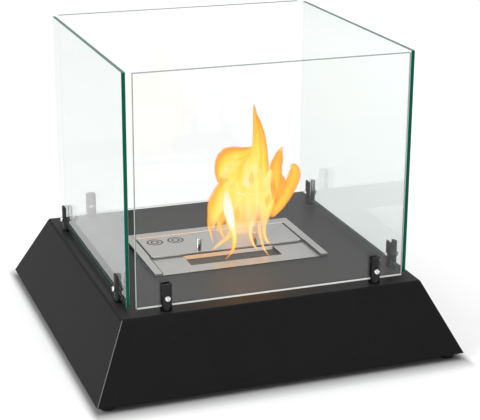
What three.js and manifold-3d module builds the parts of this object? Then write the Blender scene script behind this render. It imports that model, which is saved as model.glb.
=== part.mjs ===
// A table-top bioethanol fireplace: a black sheet-steel base with four sloping sides, four glass panes
// held in slotted posts, and a drop-in stainless burner whose opening is closed by a sliding lid.
// Millimetres. +Z is up, -Y is the front, and the origin lies on the table under the middle of the base.
import * as THREE from "three";
import { mergeVertices } from "three/addons/utils/BufferGeometryUtils.js";
import Module from "manifold-3d";

// ---- Fits -------------------------------------------------------------------------------------------
const FIT_GAP = 0.3; // between two pieces that touch, and round a screw in its hole
const BEYOND = 5; // how far a cutting block runs past the face that it cuts

// ---- Base: sheet steel, folded ----------------------------------------------------------------------
const BASE_WIDTH = 500; // across the lower edges of the left and right slopes
const BASE_DEPTH = 500; // across the lower edges of the front and back slopes
const TOP_WIDTH = 408; // of the flat top
const TOP_DEPTH = 408;
const BASE_HEIGHT = 92; // from the lower edge of the slopes to the top face
const SHEET = 1.5; // steel of the hood, the side panels and the floor tray
const HOOD_BEND = 3.5; // outside radius of the hood's front and back folds
const PANEL_BEND = 2.5; // outside radius of a side panel's fold
const PANEL_FLANGE = 26; // how far a side panel's top flange reaches in under the hood
const BEND_STEPS = 5;

// ---- Floor tray and feet ----------------------------------------------------------------------------
const FOOT_SHOWN = 9; // clear height of the slopes' lower edge above the table
const TRAY_RAISED = 2; // the floor tray lies this much above that edge
const TRAY_RIM = 14; // height of the tray's turned-up rim
const FOOT_DIAMETER = 20;
const FOOT_TAPER = 2; // the foot is this much narrower at the table
const FOOT_INSET = 17; // from the lower edges of two slopes to the middle of a foot
const FOOT_RECESS_DIAMETER = 10; // sunk in the foot for its screw head
const FOOT_RECESS_DEPTH = 5;
const FOOT_SCREW_DIAMETER = 4;
const FOOT_SCREW_HEAD = 8;
const FOOT_SCREW_HEAD_HEIGHT = 2.4;
const FOOT_SCREW_HEAD_EDGE = 0.9; // chamfer of the head
const FOOT_SCREW_ABOVE_TRAY = 5;
const FOOT_SIDES = 16;

// ---- Glass ------------------------------------------------------------------------------------------
const GLASS = 5; // thickness
const PANE_HEIGHT = 300;
const PANE_RAISED = 6; // air gap between the top and a pane's lower edge
const PANE_SETBACK = 11.5; // from the edge of the top to a pane's outer face
const CORNER_GAP = 5.5; // from a pane's end to the inner face of the next pane
const PANE_ARRIS = 0.5; // ground edge of a pane

// ---- Posts that hold the glass ----------------------------------------------------------------------
const POST_DIAMETER = 15;
const POST_HEIGHT = 36.5;
const POST_FROM_PANE_END = 39;
const POST_CHAMFER = 0.6;
const POST_SLOT_CLEARANCE = 0.5; // on each face of the glass
const STUD_DIAMETER = 5;
const STUD_LENGTH = 13; // below the post
const NUT_FLATS = 8;
const NUT_HEIGHT = 4;
const CLAMP_SCREW_DIAMETER = 4;
const CLAMP_SCREW_HEIGHT = 17.5; // above the top
const CLAMP_HEAD_DIAMETER = 7.6;
const CLAMP_HEAD_HEIGHT = 2.2;
const CLAMP_HEAD_RIM = 0.6; // straight part of the head's side
const CLAMP_CROWN_DIAMETER = 5.8; // where the head's crown turns over
const CLAMP_CROWN_DROP = 0.5; // from the head's end to that turn
const CLAMP_END_DIAMETER = 3.6; // flat end of the head
const CLAMP_SOCKET_FLATS = 2.5;
const CLAMP_SOCKET_DEPTH = 1.2;
const POST_SIDES = 20;
const SCREW_SIDES = 12;

// ---- Burner -----------------------------------------------------------------------------------------
const BURNER_WIDTH = 249; // of its top plate
const BURNER_DEPTH = 158;
const STEEL = 1.2; // stainless sheet of the burner
const TANK_WIDTH = 226;
const TANK_DEPTH = 134;
const TANK_HEIGHT = 56;
const CUTOUT_CLEARANCE = 2; // between the tank and the edge of the hood's cut-out
const SLOT_WIDTH = 132; // flame opening
const SLOT_DEPTH = 37.5;
const SLOT_FROM_FRONT = 23.5; // from the plate's front edge
const COLLAR_DEPTH = 4.5; // of the opening's turned-down edge
const GRILLE_SHEET = 1;
const GRILLE_OVERLAP = 5; // how far the grille runs out under the collar
const GRILLE_COLUMNS = 16;
const GRILLE_ROWS = 3;
const GRILLE_HOLE_SHARE = 0.6; // of the hole pitch
const WOOL_CLEARANCE = 1;
const RAIL_WIDTH = 11.5;
const RAIL_RISE = 3.4; // from the burner plate to the top of a rail
const RAIL_OVERHANG = 1; // past the plate's front edge
const RAIL_STOP = 3; // thickness of the stop at the front end of a rail
const REAR_STRIP_DEPTH = 17.5;

// ---- Lid --------------------------------------------------------------------------------------------
const LID_WIDTH = 220; // of the raised top
const LID_TONGUE = 9; // how far each side tongue reaches out from the raised top
const LID_TO_REAR_STRIP = 0.5; // with the opening fully uncovered
const LID_BEHIND_SLOT = 0.5;
const LID_FLOAT = 0.5; // free height above a side tongue, below the rail
const LID_CORNER_CUT = 2.5;
const KNOB_DIAMETER = 8;
const KNOB_HEIGHT = 18;
const KNOB_SPACING = 82;
const KNOB_FROM_FRONT = 5; // from the lid's front edge to a knob's axis
const KNOB_CHAMFER = 0.6;
const KNOB_BORE_DEPTH = 9;
const KNOB_SCREW_DIAMETER = 3;
const KNOB_SCREW_HEAD = 6;
const KNOB_SCREW_HEAD_HEIGHT = 1;
const KNOB_SCREW_REACH = 7; // above the lid's underside
const KNOB_SIDES = 20;

// ---- Levels and places worked out from the sizes above ----------------------------------------------
const baseBottom = FOOT_SHOWN;
const baseTop = baseBottom + BASE_HEIGHT;
const trayBottom = baseBottom + TRAY_RAISED;
const plateBottom = baseTop + FIT_GAP;
const plateTop = plateBottom + STEEL;
const railTop = plateTop + RAIL_RISE;
const railUnderside = railTop - STEEL;
const tongueTop = railUnderside - LID_FLOAT;
const collarBottom = plateBottom - COLLAR_DEPTH;
const grilleTop = collarBottom - FIT_GAP;
const tankTop = plateBottom - FIT_GAP;
const tankBottom = tankTop - TANK_HEIGHT;
const plateFront = -BURNER_DEPTH / 2;
const slotFront = plateFront + SLOT_FROM_FRONT;
const slotBack = slotFront + SLOT_DEPTH;
const rearStripFront = BURNER_DEPTH / 2 - REAR_STRIP_DEPTH;
const lidFront = slotBack + LID_BEHIND_SLOT;
const lidBack = rearStripFront - LID_TO_REAR_STRIP;

const wasm = await Module();
wasm.setup();

// ---- Solids -----------------------------------------------------------------------------------------

// A closed geometry as a solid that can be cut and joined.
function solid(geometry) {
  const loose = geometry.index ? geometry.toNonIndexed() : geometry;
  const bare = new THREE.BufferGeometry();
  bare.setAttribute("position", loose.getAttribute("position"));
  const merged = mergeVertices(bare, 1e-4);
  const mesh = new wasm.Mesh({
    numProp: 3,
    vertProperties: merged.attributes.position.array,
    triVerts: new Uint32Array(merged.index.array),
  });
  return new wasm.Manifold(mesh);
}

// A solid as a flat-shaded geometry.
function geometryOf(made) {
  const mesh = made.getMesh();
  const geometry = new THREE.BufferGeometry();
  const positions = new Float32Array(mesh.vertProperties);
  geometry.setAttribute("position", new THREE.BufferAttribute(positions, 3));
  geometry.setIndex(new THREE.BufferAttribute(new Uint32Array(mesh.triVerts), 1));
  const flat = geometry.toNonIndexed();
  flat.computeVertexNormals();
  return flat;
}

// A block between two corners.
function block(low, high) {
  const size = high.map((value, axis) => value - low[axis]);
  const geometry = new THREE.BoxGeometry(...size);
  geometry.translate(low[0] + size[0] / 2, low[1] + size[1] / 2, low[2] + size[2] / 2);
  return solid(geometry);
}

// A block of a given width and depth, centred on the Z axis.
function centredBlock(width, depth, bottom, top) {
  return block([-width / 2, -depth / 2, bottom], [width / 2, depth / 2, top]);
}

// A round rod along Z.
function rod(diameter, bottom, top, sides) {
  const geometry = new THREE.CylinderGeometry(diameter / 2, diameter / 2, top - bottom, sides);
  geometry.rotateX(Math.PI / 2);
  geometry.translate(0, 0, (bottom + top) / 2);
  return solid(geometry);
}

// A hexagonal rod along Z, measured across its flats.
function hexRod(flats, bottom, top) {
  return rod(flats / Math.cos(Math.PI / 6), bottom, top, 6);
}

// A shape turned about Z. The profile is a list of [radius, height] that starts and ends on the axis.
function turned(profile, sides) {
  const points = profile.map(([radius, height]) => new THREE.Vector2(radius, height));
  const geometry = new THREE.LatheGeometry(points, sides);
  geometry.rotateX(Math.PI / 2);
  return solid(geometry);
}

// A section drawn in Y and Z, run along X.
function alongX(shape, length) {
  const geometry = new THREE.ExtrudeGeometry(shape, { depth: length, bevelEnabled: false });
  geometry.translate(0, 0, -length / 2);
  const axes = new THREE.Matrix4().makeBasis(
    new THREE.Vector3(0, 1, 0),
    new THREE.Vector3(0, 0, 1),
    new THREE.Vector3(1, 0, 0),
  );
  return solid(geometry.applyMatrix4(axes));
}

// A section drawn in X and Z, run along Y.
function alongY(shape, length) {
  const geometry = new THREE.ExtrudeGeometry(shape, { depth: length, bevelEnabled: false });
  geometry.translate(0, 0, -length / 2);
  return solid(geometry.rotateX(Math.PI / 2));
}

// The line through some corners, moved to its right by an offset. Every bend turns right, and its
// outside radius is measured on the line that isn't moved; past that radius a bend is a sharp corner.
function foldedLine(corners, offset, radius) {
  const rightOf = (direction) => new THREE.Vector2(direction.y, -direction.x);
  const last = corners.length - 1;
  return corners.flatMap((corner, i) => {
    const before = corner.clone().sub(corners[Math.max(i, 1) - 1]).normalize();
    const after = corners[Math.min(i, last - 1) + 1].clone().sub(corner).normalize();
    if (i === 0) return [corner.clone().addScaledVector(rightOf(after), offset)];
    if (i === last) return [corner.clone().addScaledVector(rightOf(before), offset)];
    const turn = Math.acos(before.dot(after));
    if (offset >= radius) {
      const inward = rightOf(before).add(rightOf(after)).normalize();
      return [corner.clone().addScaledVector(inward, offset / Math.cos(turn / 2))];
    }
    const centre = corner
      .clone()
      .addScaledVector(before, -radius * Math.tan(turn / 2))
      .addScaledVector(rightOf(before), radius);
    const start = Math.atan2(before.x, -before.y);
    return Array.from({ length: BEND_STEPS + 1 }, (_, step) => {
      const angle = start - (turn * step) / BEND_STEPS;
      const spoke = new THREE.Vector2(Math.cos(angle), Math.sin(angle));
      return centre.clone().addScaledVector(spoke, radius - offset);
    });
  });
}

// The section of a folded sheet whose outside follows the corners.
function foldedSheet(corners, thickness, radius) {
  const outside = foldedLine(corners, 0, radius);
  const inside = foldedLine(corners, thickness, radius);
  return new THREE.Shape([...outside, ...inside.reverse()]);
}

// ---- Base -------------------------------------------------------------------------------------------

// Corners of the base's section across one direction, run a little past its lower edge.
function slopeCorners(bottomSpan, topSpan, top) {
  const lean = (bottomSpan - topSpan) / 2 / BASE_HEIGHT;
  const halfAt = (z) => bottomSpan / 2 - lean * (z - baseBottom);
  const low = baseBottom - BEYOND;
  return [
    new THREE.Vector2(-halfAt(low), low),
    new THREE.Vector2(-halfAt(top), top),
    new THREE.Vector2(halfAt(top), top),
    new THREE.Vector2(halfAt(low), low),
  ];
}

const hoodCorners = slopeCorners(BASE_DEPTH, TOP_DEPTH, baseTop);
const panelTop = baseTop - SHEET - FIT_GAP;
const panelCorners = slopeCorners(BASE_WIDTH, TOP_WIDTH, panelTop);
const widthCorners = slopeCorners(BASE_WIDTH, TOP_WIDTH, baseTop);

// Everything that lies inside the hood's sheet by an offset.
function insideHood(offset) {
  return alongX(new THREE.Shape(foldedLine(hoodCorners, offset, HOOD_BEND)), BASE_WIDTH);
}

// Everything that lies inside the side panels' sheet by an offset.
function insidePanels(offset) {
  return alongY(new THREE.Shape(foldedLine(panelCorners, offset, PANEL_BEND)), BASE_DEPTH);
}

// A slab across the whole base between two heights.
function slab(bottom, top) {
  return centredBlock(BASE_WIDTH + BEYOND, BASE_DEPTH + BEYOND, bottom, top);
}

// Where each side of the glass stands: its name, its turn about Z, its distance from the middle and
// the distance of the sides next to it. The posts are named after their two ends.
const frontPlane = TOP_DEPTH / 2 - PANE_SETBACK - GLASS / 2;
const sidePlane = TOP_WIDTH / 2 - PANE_SETBACK - GLASS / 2;
const GLASS_SIDES = [
  { side: "front", turn: 0, plane: frontPlane, nextPlane: sidePlane, ends: ["left", "right"] },
  { side: "right", turn: 90, plane: sidePlane, nextPlane: frontPlane, ends: ["front", "back"] },
  { side: "back", turn: 180, plane: frontPlane, nextPlane: sidePlane, ends: ["right", "left"] },
  { side: "left", turn: 270, plane: sidePlane, nextPlane: frontPlane, ends: ["back", "front"] },
];

function paneHalfWidth(glassSide) {
  return glassSide.nextPlane - GLASS / 2 - CORNER_GAP;
}

// Signed places of the two posts along their pane.
function postPlaces(glassSide) {
  const place = paneHalfWidth(glassSide) - POST_FROM_PANE_END;
  return [-place, place];
}

// The stud holes that the hood's top and the side panels' flanges share.
function studHoles() {
  const holes = GLASS_SIDES.flatMap((glassSide) =>
    postPlaces(glassSide).map((place) =>
      rod(STUD_DIAMETER + 2 * FIT_GAP, baseTop - 2 * BEYOND, baseTop + BEYOND, SCREW_SIDES)
        .translate([place, -glassSide.plane, 0])
        .rotate([0, 0, glassSide.turn]),
    ),
  );
  return holes.reduce((all, hole) => all.add(hole));
}

// Front slope, top and back slope in one sheet, with the cut-out for the burner's tank.
function hood() {
  const sheet = alongX(foldedSheet(hoodCorners, SHEET, HOOD_BEND), BASE_WIDTH);
  const outline = alongY(new THREE.Shape(widthCorners), BASE_DEPTH + BEYOND);
  const cutoutWidth = TANK_WIDTH + 2 * CUTOUT_CLEARANCE;
  const cutoutDepth = TANK_DEPTH + 2 * CUTOUT_CLEARANCE;
  return sheet
    .intersect(outline)
    .intersect(slab(baseBottom, baseTop + BEYOND))
    .subtract(centredBlock(cutoutWidth, cutoutDepth, baseTop - BEYOND, baseTop + BEYOND))
    .subtract(studHoles());
}

// A sloping side panel with a flange under the hood's top; direction is -1 for the left one.
function sidePanel(direction) {
  const sheet = alongY(foldedSheet(panelCorners, SHEET, PANEL_BEND), BASE_DEPTH);
  const flangeEnd = TOP_WIDTH / 2 - PANEL_FLANGE;
  const outerEnd = BASE_WIDTH / 2 + BEYOND;
  const half = block(
    [direction < 0 ? -outerEnd : flangeEnd, -BASE_DEPTH / 2, baseBottom],
    [direction < 0 ? -flangeEnd : outerEnd, BASE_DEPTH / 2, baseTop],
  );
  return sheet
    .intersect(insideHood(SHEET + FIT_GAP))
    .intersect(half)
    .subtract(studHoles());
}

// Middles of the four feet.
function footPlaces() {
  const x = BASE_WIDTH / 2 - FOOT_INSET;
  const y = BASE_DEPTH / 2 - FOOT_INSET;
  return [
    { corner: "front_left", place: [-x, -y] },
    { corner: "front_right", place: [x, -y] },
    { corner: "back_left", place: [-x, y] },
    { corner: "back_right", place: [x, y] },
  ];
}

// The floor of the base, a shallow tray whose rim follows the four slopes from inside.
function floorTray() {
  const room = (offset, bottom) =>
    insideHood(offset)
      .intersect(insidePanels(offset))
      .intersect(slab(bottom, trayBottom + TRAY_RIM));
  const outer = room(SHEET + FIT_GAP, trayBottom);
  const inner = room(2 * SHEET + FIT_GAP, trayBottom + SHEET);
  const holes = footPlaces().map(({ place }) =>
    rod(FOOT_SCREW_DIAMETER + 2 * FIT_GAP, trayBottom - BEYOND, trayBottom + BEYOND, SCREW_SIDES)
      .translate([...place, 0]),
  );
  return holes.reduce((tray, hole) => tray.subtract(hole), outer.subtract(inner));
}

// A rubber foot with a recess for the head of its screw.
function foot() {
  const top = trayBottom - FIT_GAP;
  const hole = FOOT_SCREW_DIAMETER / 2 + FIT_GAP;
  const profile = [
    [hole, FOOT_RECESS_DEPTH],
    [FOOT_RECESS_DIAMETER / 2, FOOT_RECESS_DEPTH],
    [FOOT_RECESS_DIAMETER / 2, 0],
    [(FOOT_DIAMETER - FOOT_TAPER) / 2, 0],
    [FOOT_DIAMETER / 2, FOOT_TAPER],
    [FOOT_DIAMETER / 2, top],
    [hole, top],
    [hole, FOOT_RECESS_DEPTH],
  ];
  return turned(profile, FOOT_SIDES);
}

// A pan-head screw, head down, that holds a foot to the floor tray.
function footScrew() {
  const headTop = FOOT_RECESS_DEPTH - FIT_GAP;
  const headBottom = headTop - FOOT_SCREW_HEAD_HEIGHT;
  const end = trayBottom + SHEET + FOOT_SCREW_ABOVE_TRAY;
  const profile = [
    [0, headBottom],
    [FOOT_SCREW_HEAD / 2 - FOOT_SCREW_HEAD_EDGE, headBottom],
    [FOOT_SCREW_HEAD / 2, headBottom + FOOT_SCREW_HEAD_EDGE],
    [FOOT_SCREW_HEAD / 2, headTop],
    [FOOT_SCREW_DIAMETER / 2, headTop],
    [FOOT_SCREW_DIAMETER / 2, end],
    [0, end],
  ];
  return turned(profile, SCREW_SIDES);
}

// ---- Glass and its posts, each side built as the front one is ----------------------------------------

// A pane with ground edges.
function pane(halfWidth) {
  const half = halfWidth - PANE_ARRIS;
  const bottom = baseTop + PANE_RAISED + PANE_ARRIS;
  const top = baseTop + PANE_RAISED + PANE_HEIGHT - PANE_ARRIS;
  const outline = new THREE.Shape();
  outline.moveTo(-half, bottom);
  outline.lineTo(half, bottom);
  outline.lineTo(half, top);
  outline.lineTo(-half, top);
  const geometry = new THREE.ExtrudeGeometry(outline, {
    depth: GLASS - 2 * PANE_ARRIS,
    bevelThickness: PANE_ARRIS,
    bevelSize: PANE_ARRIS,
    bevelSegments: 1,
  });
  geometry.translate(0, 0, PANE_ARRIS - GLASS / 2);
  return solid(geometry.rotateX(Math.PI / 2));
}

// A slotted post on its stud, with a cross hole for the two clamp screws; z = 0 is the base's top.
function post() {
  const radius = POST_DIAMETER / 2;
  const profile = [
    [0, -STUD_LENGTH],
    [STUD_DIAMETER / 2, -STUD_LENGTH],
    [STUD_DIAMETER / 2, FIT_GAP],
    [radius, FIT_GAP],
    [radius, POST_HEIGHT - POST_CHAMFER],
    [radius - POST_CHAMFER, POST_HEIGHT],
    [0, POST_HEIGHT],
  ];
  const slotHalf = GLASS / 2 + POST_SLOT_CLEARANCE;
  const slot = block(
    [-POST_DIAMETER, -slotHalf, PANE_RAISED - FIT_GAP],
    [POST_DIAMETER, slotHalf, POST_HEIGHT + BEYOND],
  );
  const crossHole = rod(
    CLAMP_SCREW_DIAMETER + 2 * FIT_GAP,
    -POST_DIAMETER,
    POST_DIAMETER,
    SCREW_SIDES,
  )
    .rotate([90, 0, 0])
    .translate([0, 0, CLAMP_SCREW_HEIGHT]);
  return turned(profile, POST_SIDES).subtract(slot).subtract(crossHole);
}

// A button-head screw along Z, its tip just clear of the glass at z = GLASS / 2.
function clampScrew() {
  const headBase = POST_DIAMETER / 2 + FIT_GAP;
  const headTop = headBase + CLAMP_HEAD_HEIGHT;
  const tip = GLASS / 2 + FIT_GAP;
  const shank = CLAMP_SCREW_DIAMETER / 2;
  const profile = [
    [0, tip],
    [shank, tip],
    [shank, headBase],
    [CLAMP_HEAD_DIAMETER / 2, headBase],
    [CLAMP_HEAD_DIAMETER / 2, headBase + CLAMP_HEAD_RIM],
    [CLAMP_CROWN_DIAMETER / 2, headTop - CLAMP_CROWN_DROP],
    [CLAMP_END_DIAMETER / 2, headTop],
    [0, headTop],
  ];
  const socket = hexRod(CLAMP_SOCKET_FLATS, headTop - CLAMP_SOCKET_DEPTH, headTop + BEYOND);
  return turned(profile, SCREW_SIDES).subtract(socket);
}

// A nut on a stud; its top face is at z = 0.
function nut() {
  const bore = rod(STUD_DIAMETER + 2 * FIT_GAP, -NUT_HEIGHT - BEYOND, BEYOND, SCREW_SIDES);
  return hexRod(NUT_FLATS, -NUT_HEIGHT, 0).subtract(bore);
}

// ---- Burner -----------------------------------------------------------------------------------------

function tank() {
  const inside = centredBlock(
    TANK_WIDTH - 2 * STEEL,
    TANK_DEPTH - 2 * STEEL,
    tankBottom + STEEL,
    tankTop + BEYOND,
  );
  return centredBlock(TANK_WIDTH, TANK_DEPTH, tankBottom, tankTop).subtract(inside);
}

// A block round the flame opening, grown by a margin on each side.
function slotBlock(margin, bottom, top) {
  return block(
    [-SLOT_WIDTH / 2 - margin, slotFront - margin, bottom],
    [SLOT_WIDTH / 2 + margin, slotBack + margin, top],
  );
}

// The top plate and the collar that is turned down round its opening.
function burnerPlate() {
  return centredBlock(BURNER_WIDTH, BURNER_DEPTH, plateBottom, plateTop)
    .add(slotBlock(STEEL, collarBottom, plateTop))
    .subtract(slotBlock(0, collarBottom - BEYOND, plateTop + BEYOND));
}

// The perforated sheet under the collar, which holds the wool down.
function grille() {
  const width = SLOT_WIDTH + 2 * GRILLE_OVERLAP;
  const depth = SLOT_DEPTH + 2 * GRILLE_OVERLAP;
  const outline = new THREE.Shape();
  outline.moveTo(-width / 2, -depth / 2);
  outline.lineTo(width / 2, -depth / 2);
  outline.lineTo(width / 2, depth / 2);
  outline.lineTo(-width / 2, depth / 2);
  const pitchX = SLOT_WIDTH / GRILLE_COLUMNS;
  const pitchY = SLOT_DEPTH / GRILLE_ROWS;
  for (let column = 0; column < GRILLE_COLUMNS; column++) {
    for (let row = 0; row < GRILLE_ROWS; row++) {
      const x = (column + 0.5) * pitchX - SLOT_WIDTH / 2;
      const y = (row + 0.5) * pitchY - SLOT_DEPTH / 2;
      const halfX = (pitchX * GRILLE_HOLE_SHARE) / 2;
      const halfY = (pitchY * GRILLE_HOLE_SHARE) / 2;
      const hole = new THREE.Path();
      hole.moveTo(x - halfX, y);
      hole.lineTo(x, y + halfY);
      hole.lineTo(x + halfX, y);
      hole.lineTo(x, y - halfY);
      outline.holes.push(hole);
    }
  }
  const geometry = new THREE.ExtrudeGeometry(outline, { depth: GRILLE_SHEET, bevelEnabled: false });
  geometry.translate(0, (slotFront + slotBack) / 2, grilleTop - GRILLE_SHEET);
  return solid(geometry);
}

// The block of ceramic wool that fills the tank up to the grille.
function wool() {
  const width = TANK_WIDTH - 2 * (STEEL + WOOL_CLEARANCE);
  const depth = TANK_DEPTH - 2 * (STEEL + WOOL_CLEARANCE);
  const bottom = tankBottom + STEEL + FIT_GAP;
  return centredBlock(width, depth, bottom, grilleTop - GRILLE_SHEET - FIT_GAP);
}

// A rail with its outer wall on the plate and its top reaching in over the lid's tongue.
function rail(direction) {
  const outer = (direction * BURNER_WIDTH) / 2;
  const span = (from, to) => [Math.min(from, to), Math.max(from, to)];
  const [wallLow, wallHigh] = span(outer, outer - direction * STEEL);
  const [topLow, topHigh] = span(outer, outer - direction * RAIL_WIDTH);
  const front = plateFront - RAIL_OVERHANG;
  const back = BURNER_DEPTH / 2;
  const bottom = plateTop + FIT_GAP;
  const wall = block([wallLow, front, bottom], [wallHigh, back, railTop]);
  const top = block([topLow, front, railUnderside], [topHigh, back, railTop]);
  const stop = block([topLow, front, bottom], [topHigh, front + RAIL_STOP, railTop]);
  return wall.add(top).add(stop);
}

// The raised strip behind the lid, closed at the back.
function rearStrip() {
  const half = BURNER_WIDTH / 2 - RAIL_WIDTH - FIT_GAP;
  const back = BURNER_DEPTH / 2;
  const top = block([-half, rearStripFront, railUnderside], [half, back, railTop]);
  const wall = block([-half, back - STEEL, plateTop + FIT_GAP], [half, back, railTop]);
  return top.add(wall);
}

// ---- Lid --------------------------------------------------------------------------------------------

// Places of the two knobs across the lid.
function knobPlaces() {
  return [
    { side: "left", x: -KNOB_SPACING / 2 },
    { side: "right", x: KNOB_SPACING / 2 },
  ];
}

// Raised top, turned-down front edge and two side tongues that run under the rails.
function lid() {
  const half = LID_WIDTH / 2;
  const tongueBottom = tongueTop - STEEL;
  const outerBox = block([-half, lidFront, tongueBottom], [half, lidBack, railTop]);
  const hollow = block(
    [-half + STEEL, lidFront + STEEL, tongueBottom - BEYOND],
    [half - STEEL, lidBack + BEYOND, railUnderside],
  );
  const cutSide = LID_CORNER_CUT * Math.SQRT2;
  const cornerCuts = [-1, 1].map((direction) =>
    centredBlock(cutSide, cutSide, tongueBottom - BEYOND, railTop + BEYOND)
      .rotate([0, 0, 45])
      .translate([direction * half, lidFront, 0]),
  );
  const tongues = [-1, 1].map((direction) => {
    const ends = [direction * (half - STEEL), direction * (half + LID_TONGUE)];
    return block(
      [Math.min(...ends), lidFront, tongueBottom],
      [Math.max(...ends), lidBack, tongueTop],
    );
  });
  const screwHoles = knobPlaces().map(({ x }) =>
    rod(KNOB_SCREW_DIAMETER + 2 * FIT_GAP, tongueBottom, railTop + BEYOND, SCREW_SIDES)
      .translate([x, lidFront + KNOB_FROM_FRONT, 0]),
  );
  const top = [...cornerCuts, hollow].reduce((made, cut) => made.subtract(cut), outerBox);
  const whole = tongues.reduce((made, tongue) => made.add(tongue), top);
  return screwHoles.reduce((made, hole) => made.subtract(hole), whole);
}

// A knob that stands on the lid, bored from below for its screw.
function knob() {
  const bottom = railTop + FIT_GAP;
  const top = railTop + KNOB_HEIGHT;
  const bore = KNOB_SCREW_DIAMETER / 2 + FIT_GAP;
  const radius = KNOB_DIAMETER / 2;
  const profile = [
    [0, bottom + KNOB_BORE_DEPTH],
    [bore, bottom + KNOB_BORE_DEPTH],
    [bore, bottom],
    [radius, bottom],
    [radius, top - KNOB_CHAMFER],
    [radius - KNOB_CHAMFER, top],
    [0, top],
  ];
  return turned(profile, KNOB_SIDES);
}

// The screw that holds a knob from under the lid.
function knobScrew() {
  const headTop = railUnderside - FIT_GAP;
  const headBottom = headTop - KNOB_SCREW_HEAD_HEIGHT;
  const profile = [
    [0, headBottom],
    [KNOB_SCREW_HEAD / 2, headBottom],
    [KNOB_SCREW_HEAD / 2, headTop],
    [KNOB_SCREW_DIAMETER / 2, headTop],
    [KNOB_SCREW_DIAMETER / 2, railUnderside + KNOB_SCREW_REACH],
    [0, railUnderside + KNOB_SCREW_REACH],
  ];
  return turned(profile, SCREW_SIDES);
}

// ---- Materials --------------------------------------------------------------------------------------

function finish(color, roughness, metalness, extra = {}) {
  return new THREE.MeshStandardMaterial({ color, roughness, metalness, ...extra });
}

const blackCoat = finish(0x2c2c2d, 0.5, 0.2);
const postBlack = finish(0x161616, 0.4, 0.3);
const brushedSteel = finish(0xb4b3b0, 0.35, 1);
const chrome = finish(0xe2e2e2, 0.12, 1);
const zincPlate = finish(0xa8a9a6, 0.4, 1);
const clearGlass = finish(0xcfe6dc, 0.05, 0, { transparent: true, opacity: 0.3 });
const footRubber = finish(0x151515, 0.9, 0);
const ceramicWool = finish(0xe6e1d4, 0.95, 0);

// ---- Assembly ---------------------------------------------------------------------------------------

function named(name, geometry, material) {
  const mesh = new THREE.Mesh(geometry, material);
  mesh.name = name;
  return mesh;
}

function makeBase() {
  const base = new THREE.Group();
  base.add(named("hood", geometryOf(hood()), blackCoat));
  base.add(named("left_side_panel", geometryOf(sidePanel(-1)), blackCoat));
  base.add(named("right_side_panel", geometryOf(sidePanel(1)), blackCoat));
  base.add(named("floor_tray", geometryOf(floorTray()), blackCoat));
  const footGeometry = geometryOf(foot());
  const screwGeometry = geometryOf(footScrew());
  for (const { corner, place } of footPlaces()) {
    const corners = new THREE.Group();
    corners.position.set(...place, 0);
    corners.add(named("foot_" + corner, footGeometry, footRubber));
    corners.add(named("foot_screw_" + corner, screwGeometry, zincPlate));
    base.add(corners);
  }
  return base;
}

function makeGlassSide(glassSide, geometries) {
  const group = new THREE.Group();
  group.rotation.z = THREE.MathUtils.degToRad(glassSide.turn);
  const paneMesh = named(
    "glass_pane_" + glassSide.side,
    geometryOf(pane(paneHalfWidth(glassSide))),
    clearGlass,
  );
  paneMesh.position.y = -glassSide.plane;
  group.add(paneMesh);
  const overSidePanel = glassSide.turn % 180 !== 0;
  const nutTop = (overSidePanel ? panelTop : baseTop) - SHEET - FIT_GAP;
  postPlaces(glassSide).forEach((place, end) => {
    const label = glassSide.side + "_" + glassSide.ends[end];
    const holder = new THREE.Group();
    holder.position.set(place, -glassSide.plane, 0);
    const postMesh = named("post_" + label, geometries.post, postBlack);
    postMesh.position.z = baseTop;
    const outerScrew = named("outer_clamp_screw_" + label, geometries.screw, chrome);
    outerScrew.position.z = baseTop + CLAMP_SCREW_HEIGHT;
    outerScrew.rotation.x = Math.PI / 2;
    const innerScrew = named("inner_clamp_screw_" + label, geometries.screw, chrome);
    innerScrew.position.z = baseTop + CLAMP_SCREW_HEIGHT;
    innerScrew.rotation.x = -Math.PI / 2;
    const nutMesh = named("post_nut_" + label, geometries.nut, zincPlate);
    nutMesh.position.z = nutTop;
    holder.add(postMesh, outerScrew, innerScrew, nutMesh);
    group.add(holder);
  });
  return group;
}

function makeBurner() {
  const burner = new THREE.Group();
  burner.add(named("burner_tank", geometryOf(tank()), brushedSteel));
  burner.add(named("burner_top_plate", geometryOf(burnerPlate()), brushedSteel));
  burner.add(named("flame_grille", geometryOf(grille()), brushedSteel));
  burner.add(named("ceramic_wool", geometryOf(wool()), ceramicWool));
  burner.add(named("left_lid_rail", geometryOf(rail(-1)), brushedSteel));
  burner.add(named("right_lid_rail", geometryOf(rail(1)), brushedSteel));
  burner.add(named("rear_strip", geometryOf(rearStrip()), brushedSteel));
  burner.add(makeLid());
  return burner;
}

function makeLid() {
  const lidGroup = new THREE.Group();
  lidGroup.add(named("burner_lid", geometryOf(lid()), brushedSteel));
  const knobGeometry = geometryOf(knob());
  const screwGeometry = geometryOf(knobScrew());
  for (const { side, x } of knobPlaces()) {
    const handle = new THREE.Group();
    handle.position.set(x, lidFront + KNOB_FROM_FRONT, 0);
    handle.add(named("lid_knob_" + side, knobGeometry, chrome));
    handle.add(named("knob_screw_" + side, screwGeometry, zincPlate));
    lidGroup.add(handle);
  }
  return lidGroup;
}

const fireplace = new THREE.Group();
fireplace.add(makeBase());
const postGeometries = {
  post: geometryOf(post()),
  screw: geometryOf(clampScrew()),
  nut: geometryOf(nut()),
};
for (const glassSide of GLASS_SIDES) {
  fireplace.add(makeGlassSide(glassSide, postGeometries));
}
fireplace.add(makeBurner());

export default fireplace;
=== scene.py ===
"""A table-top bioethanol fireplace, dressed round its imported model.

Metres, +Z up, the front looks along -Y. Each sub-assembly is a class that builds its own pieces.
"""

import logging
import math
from collections.abc import Callable, Iterable, Sequence
from dataclasses import dataclass
from enum import Enum
from typing import TypeVar

import bmesh
import bpy
from bmesh.types import BMEdge, BMesh, BMFace, BMVert
from bpy.types import Object
from mathutils import Matrix, Vector


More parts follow.
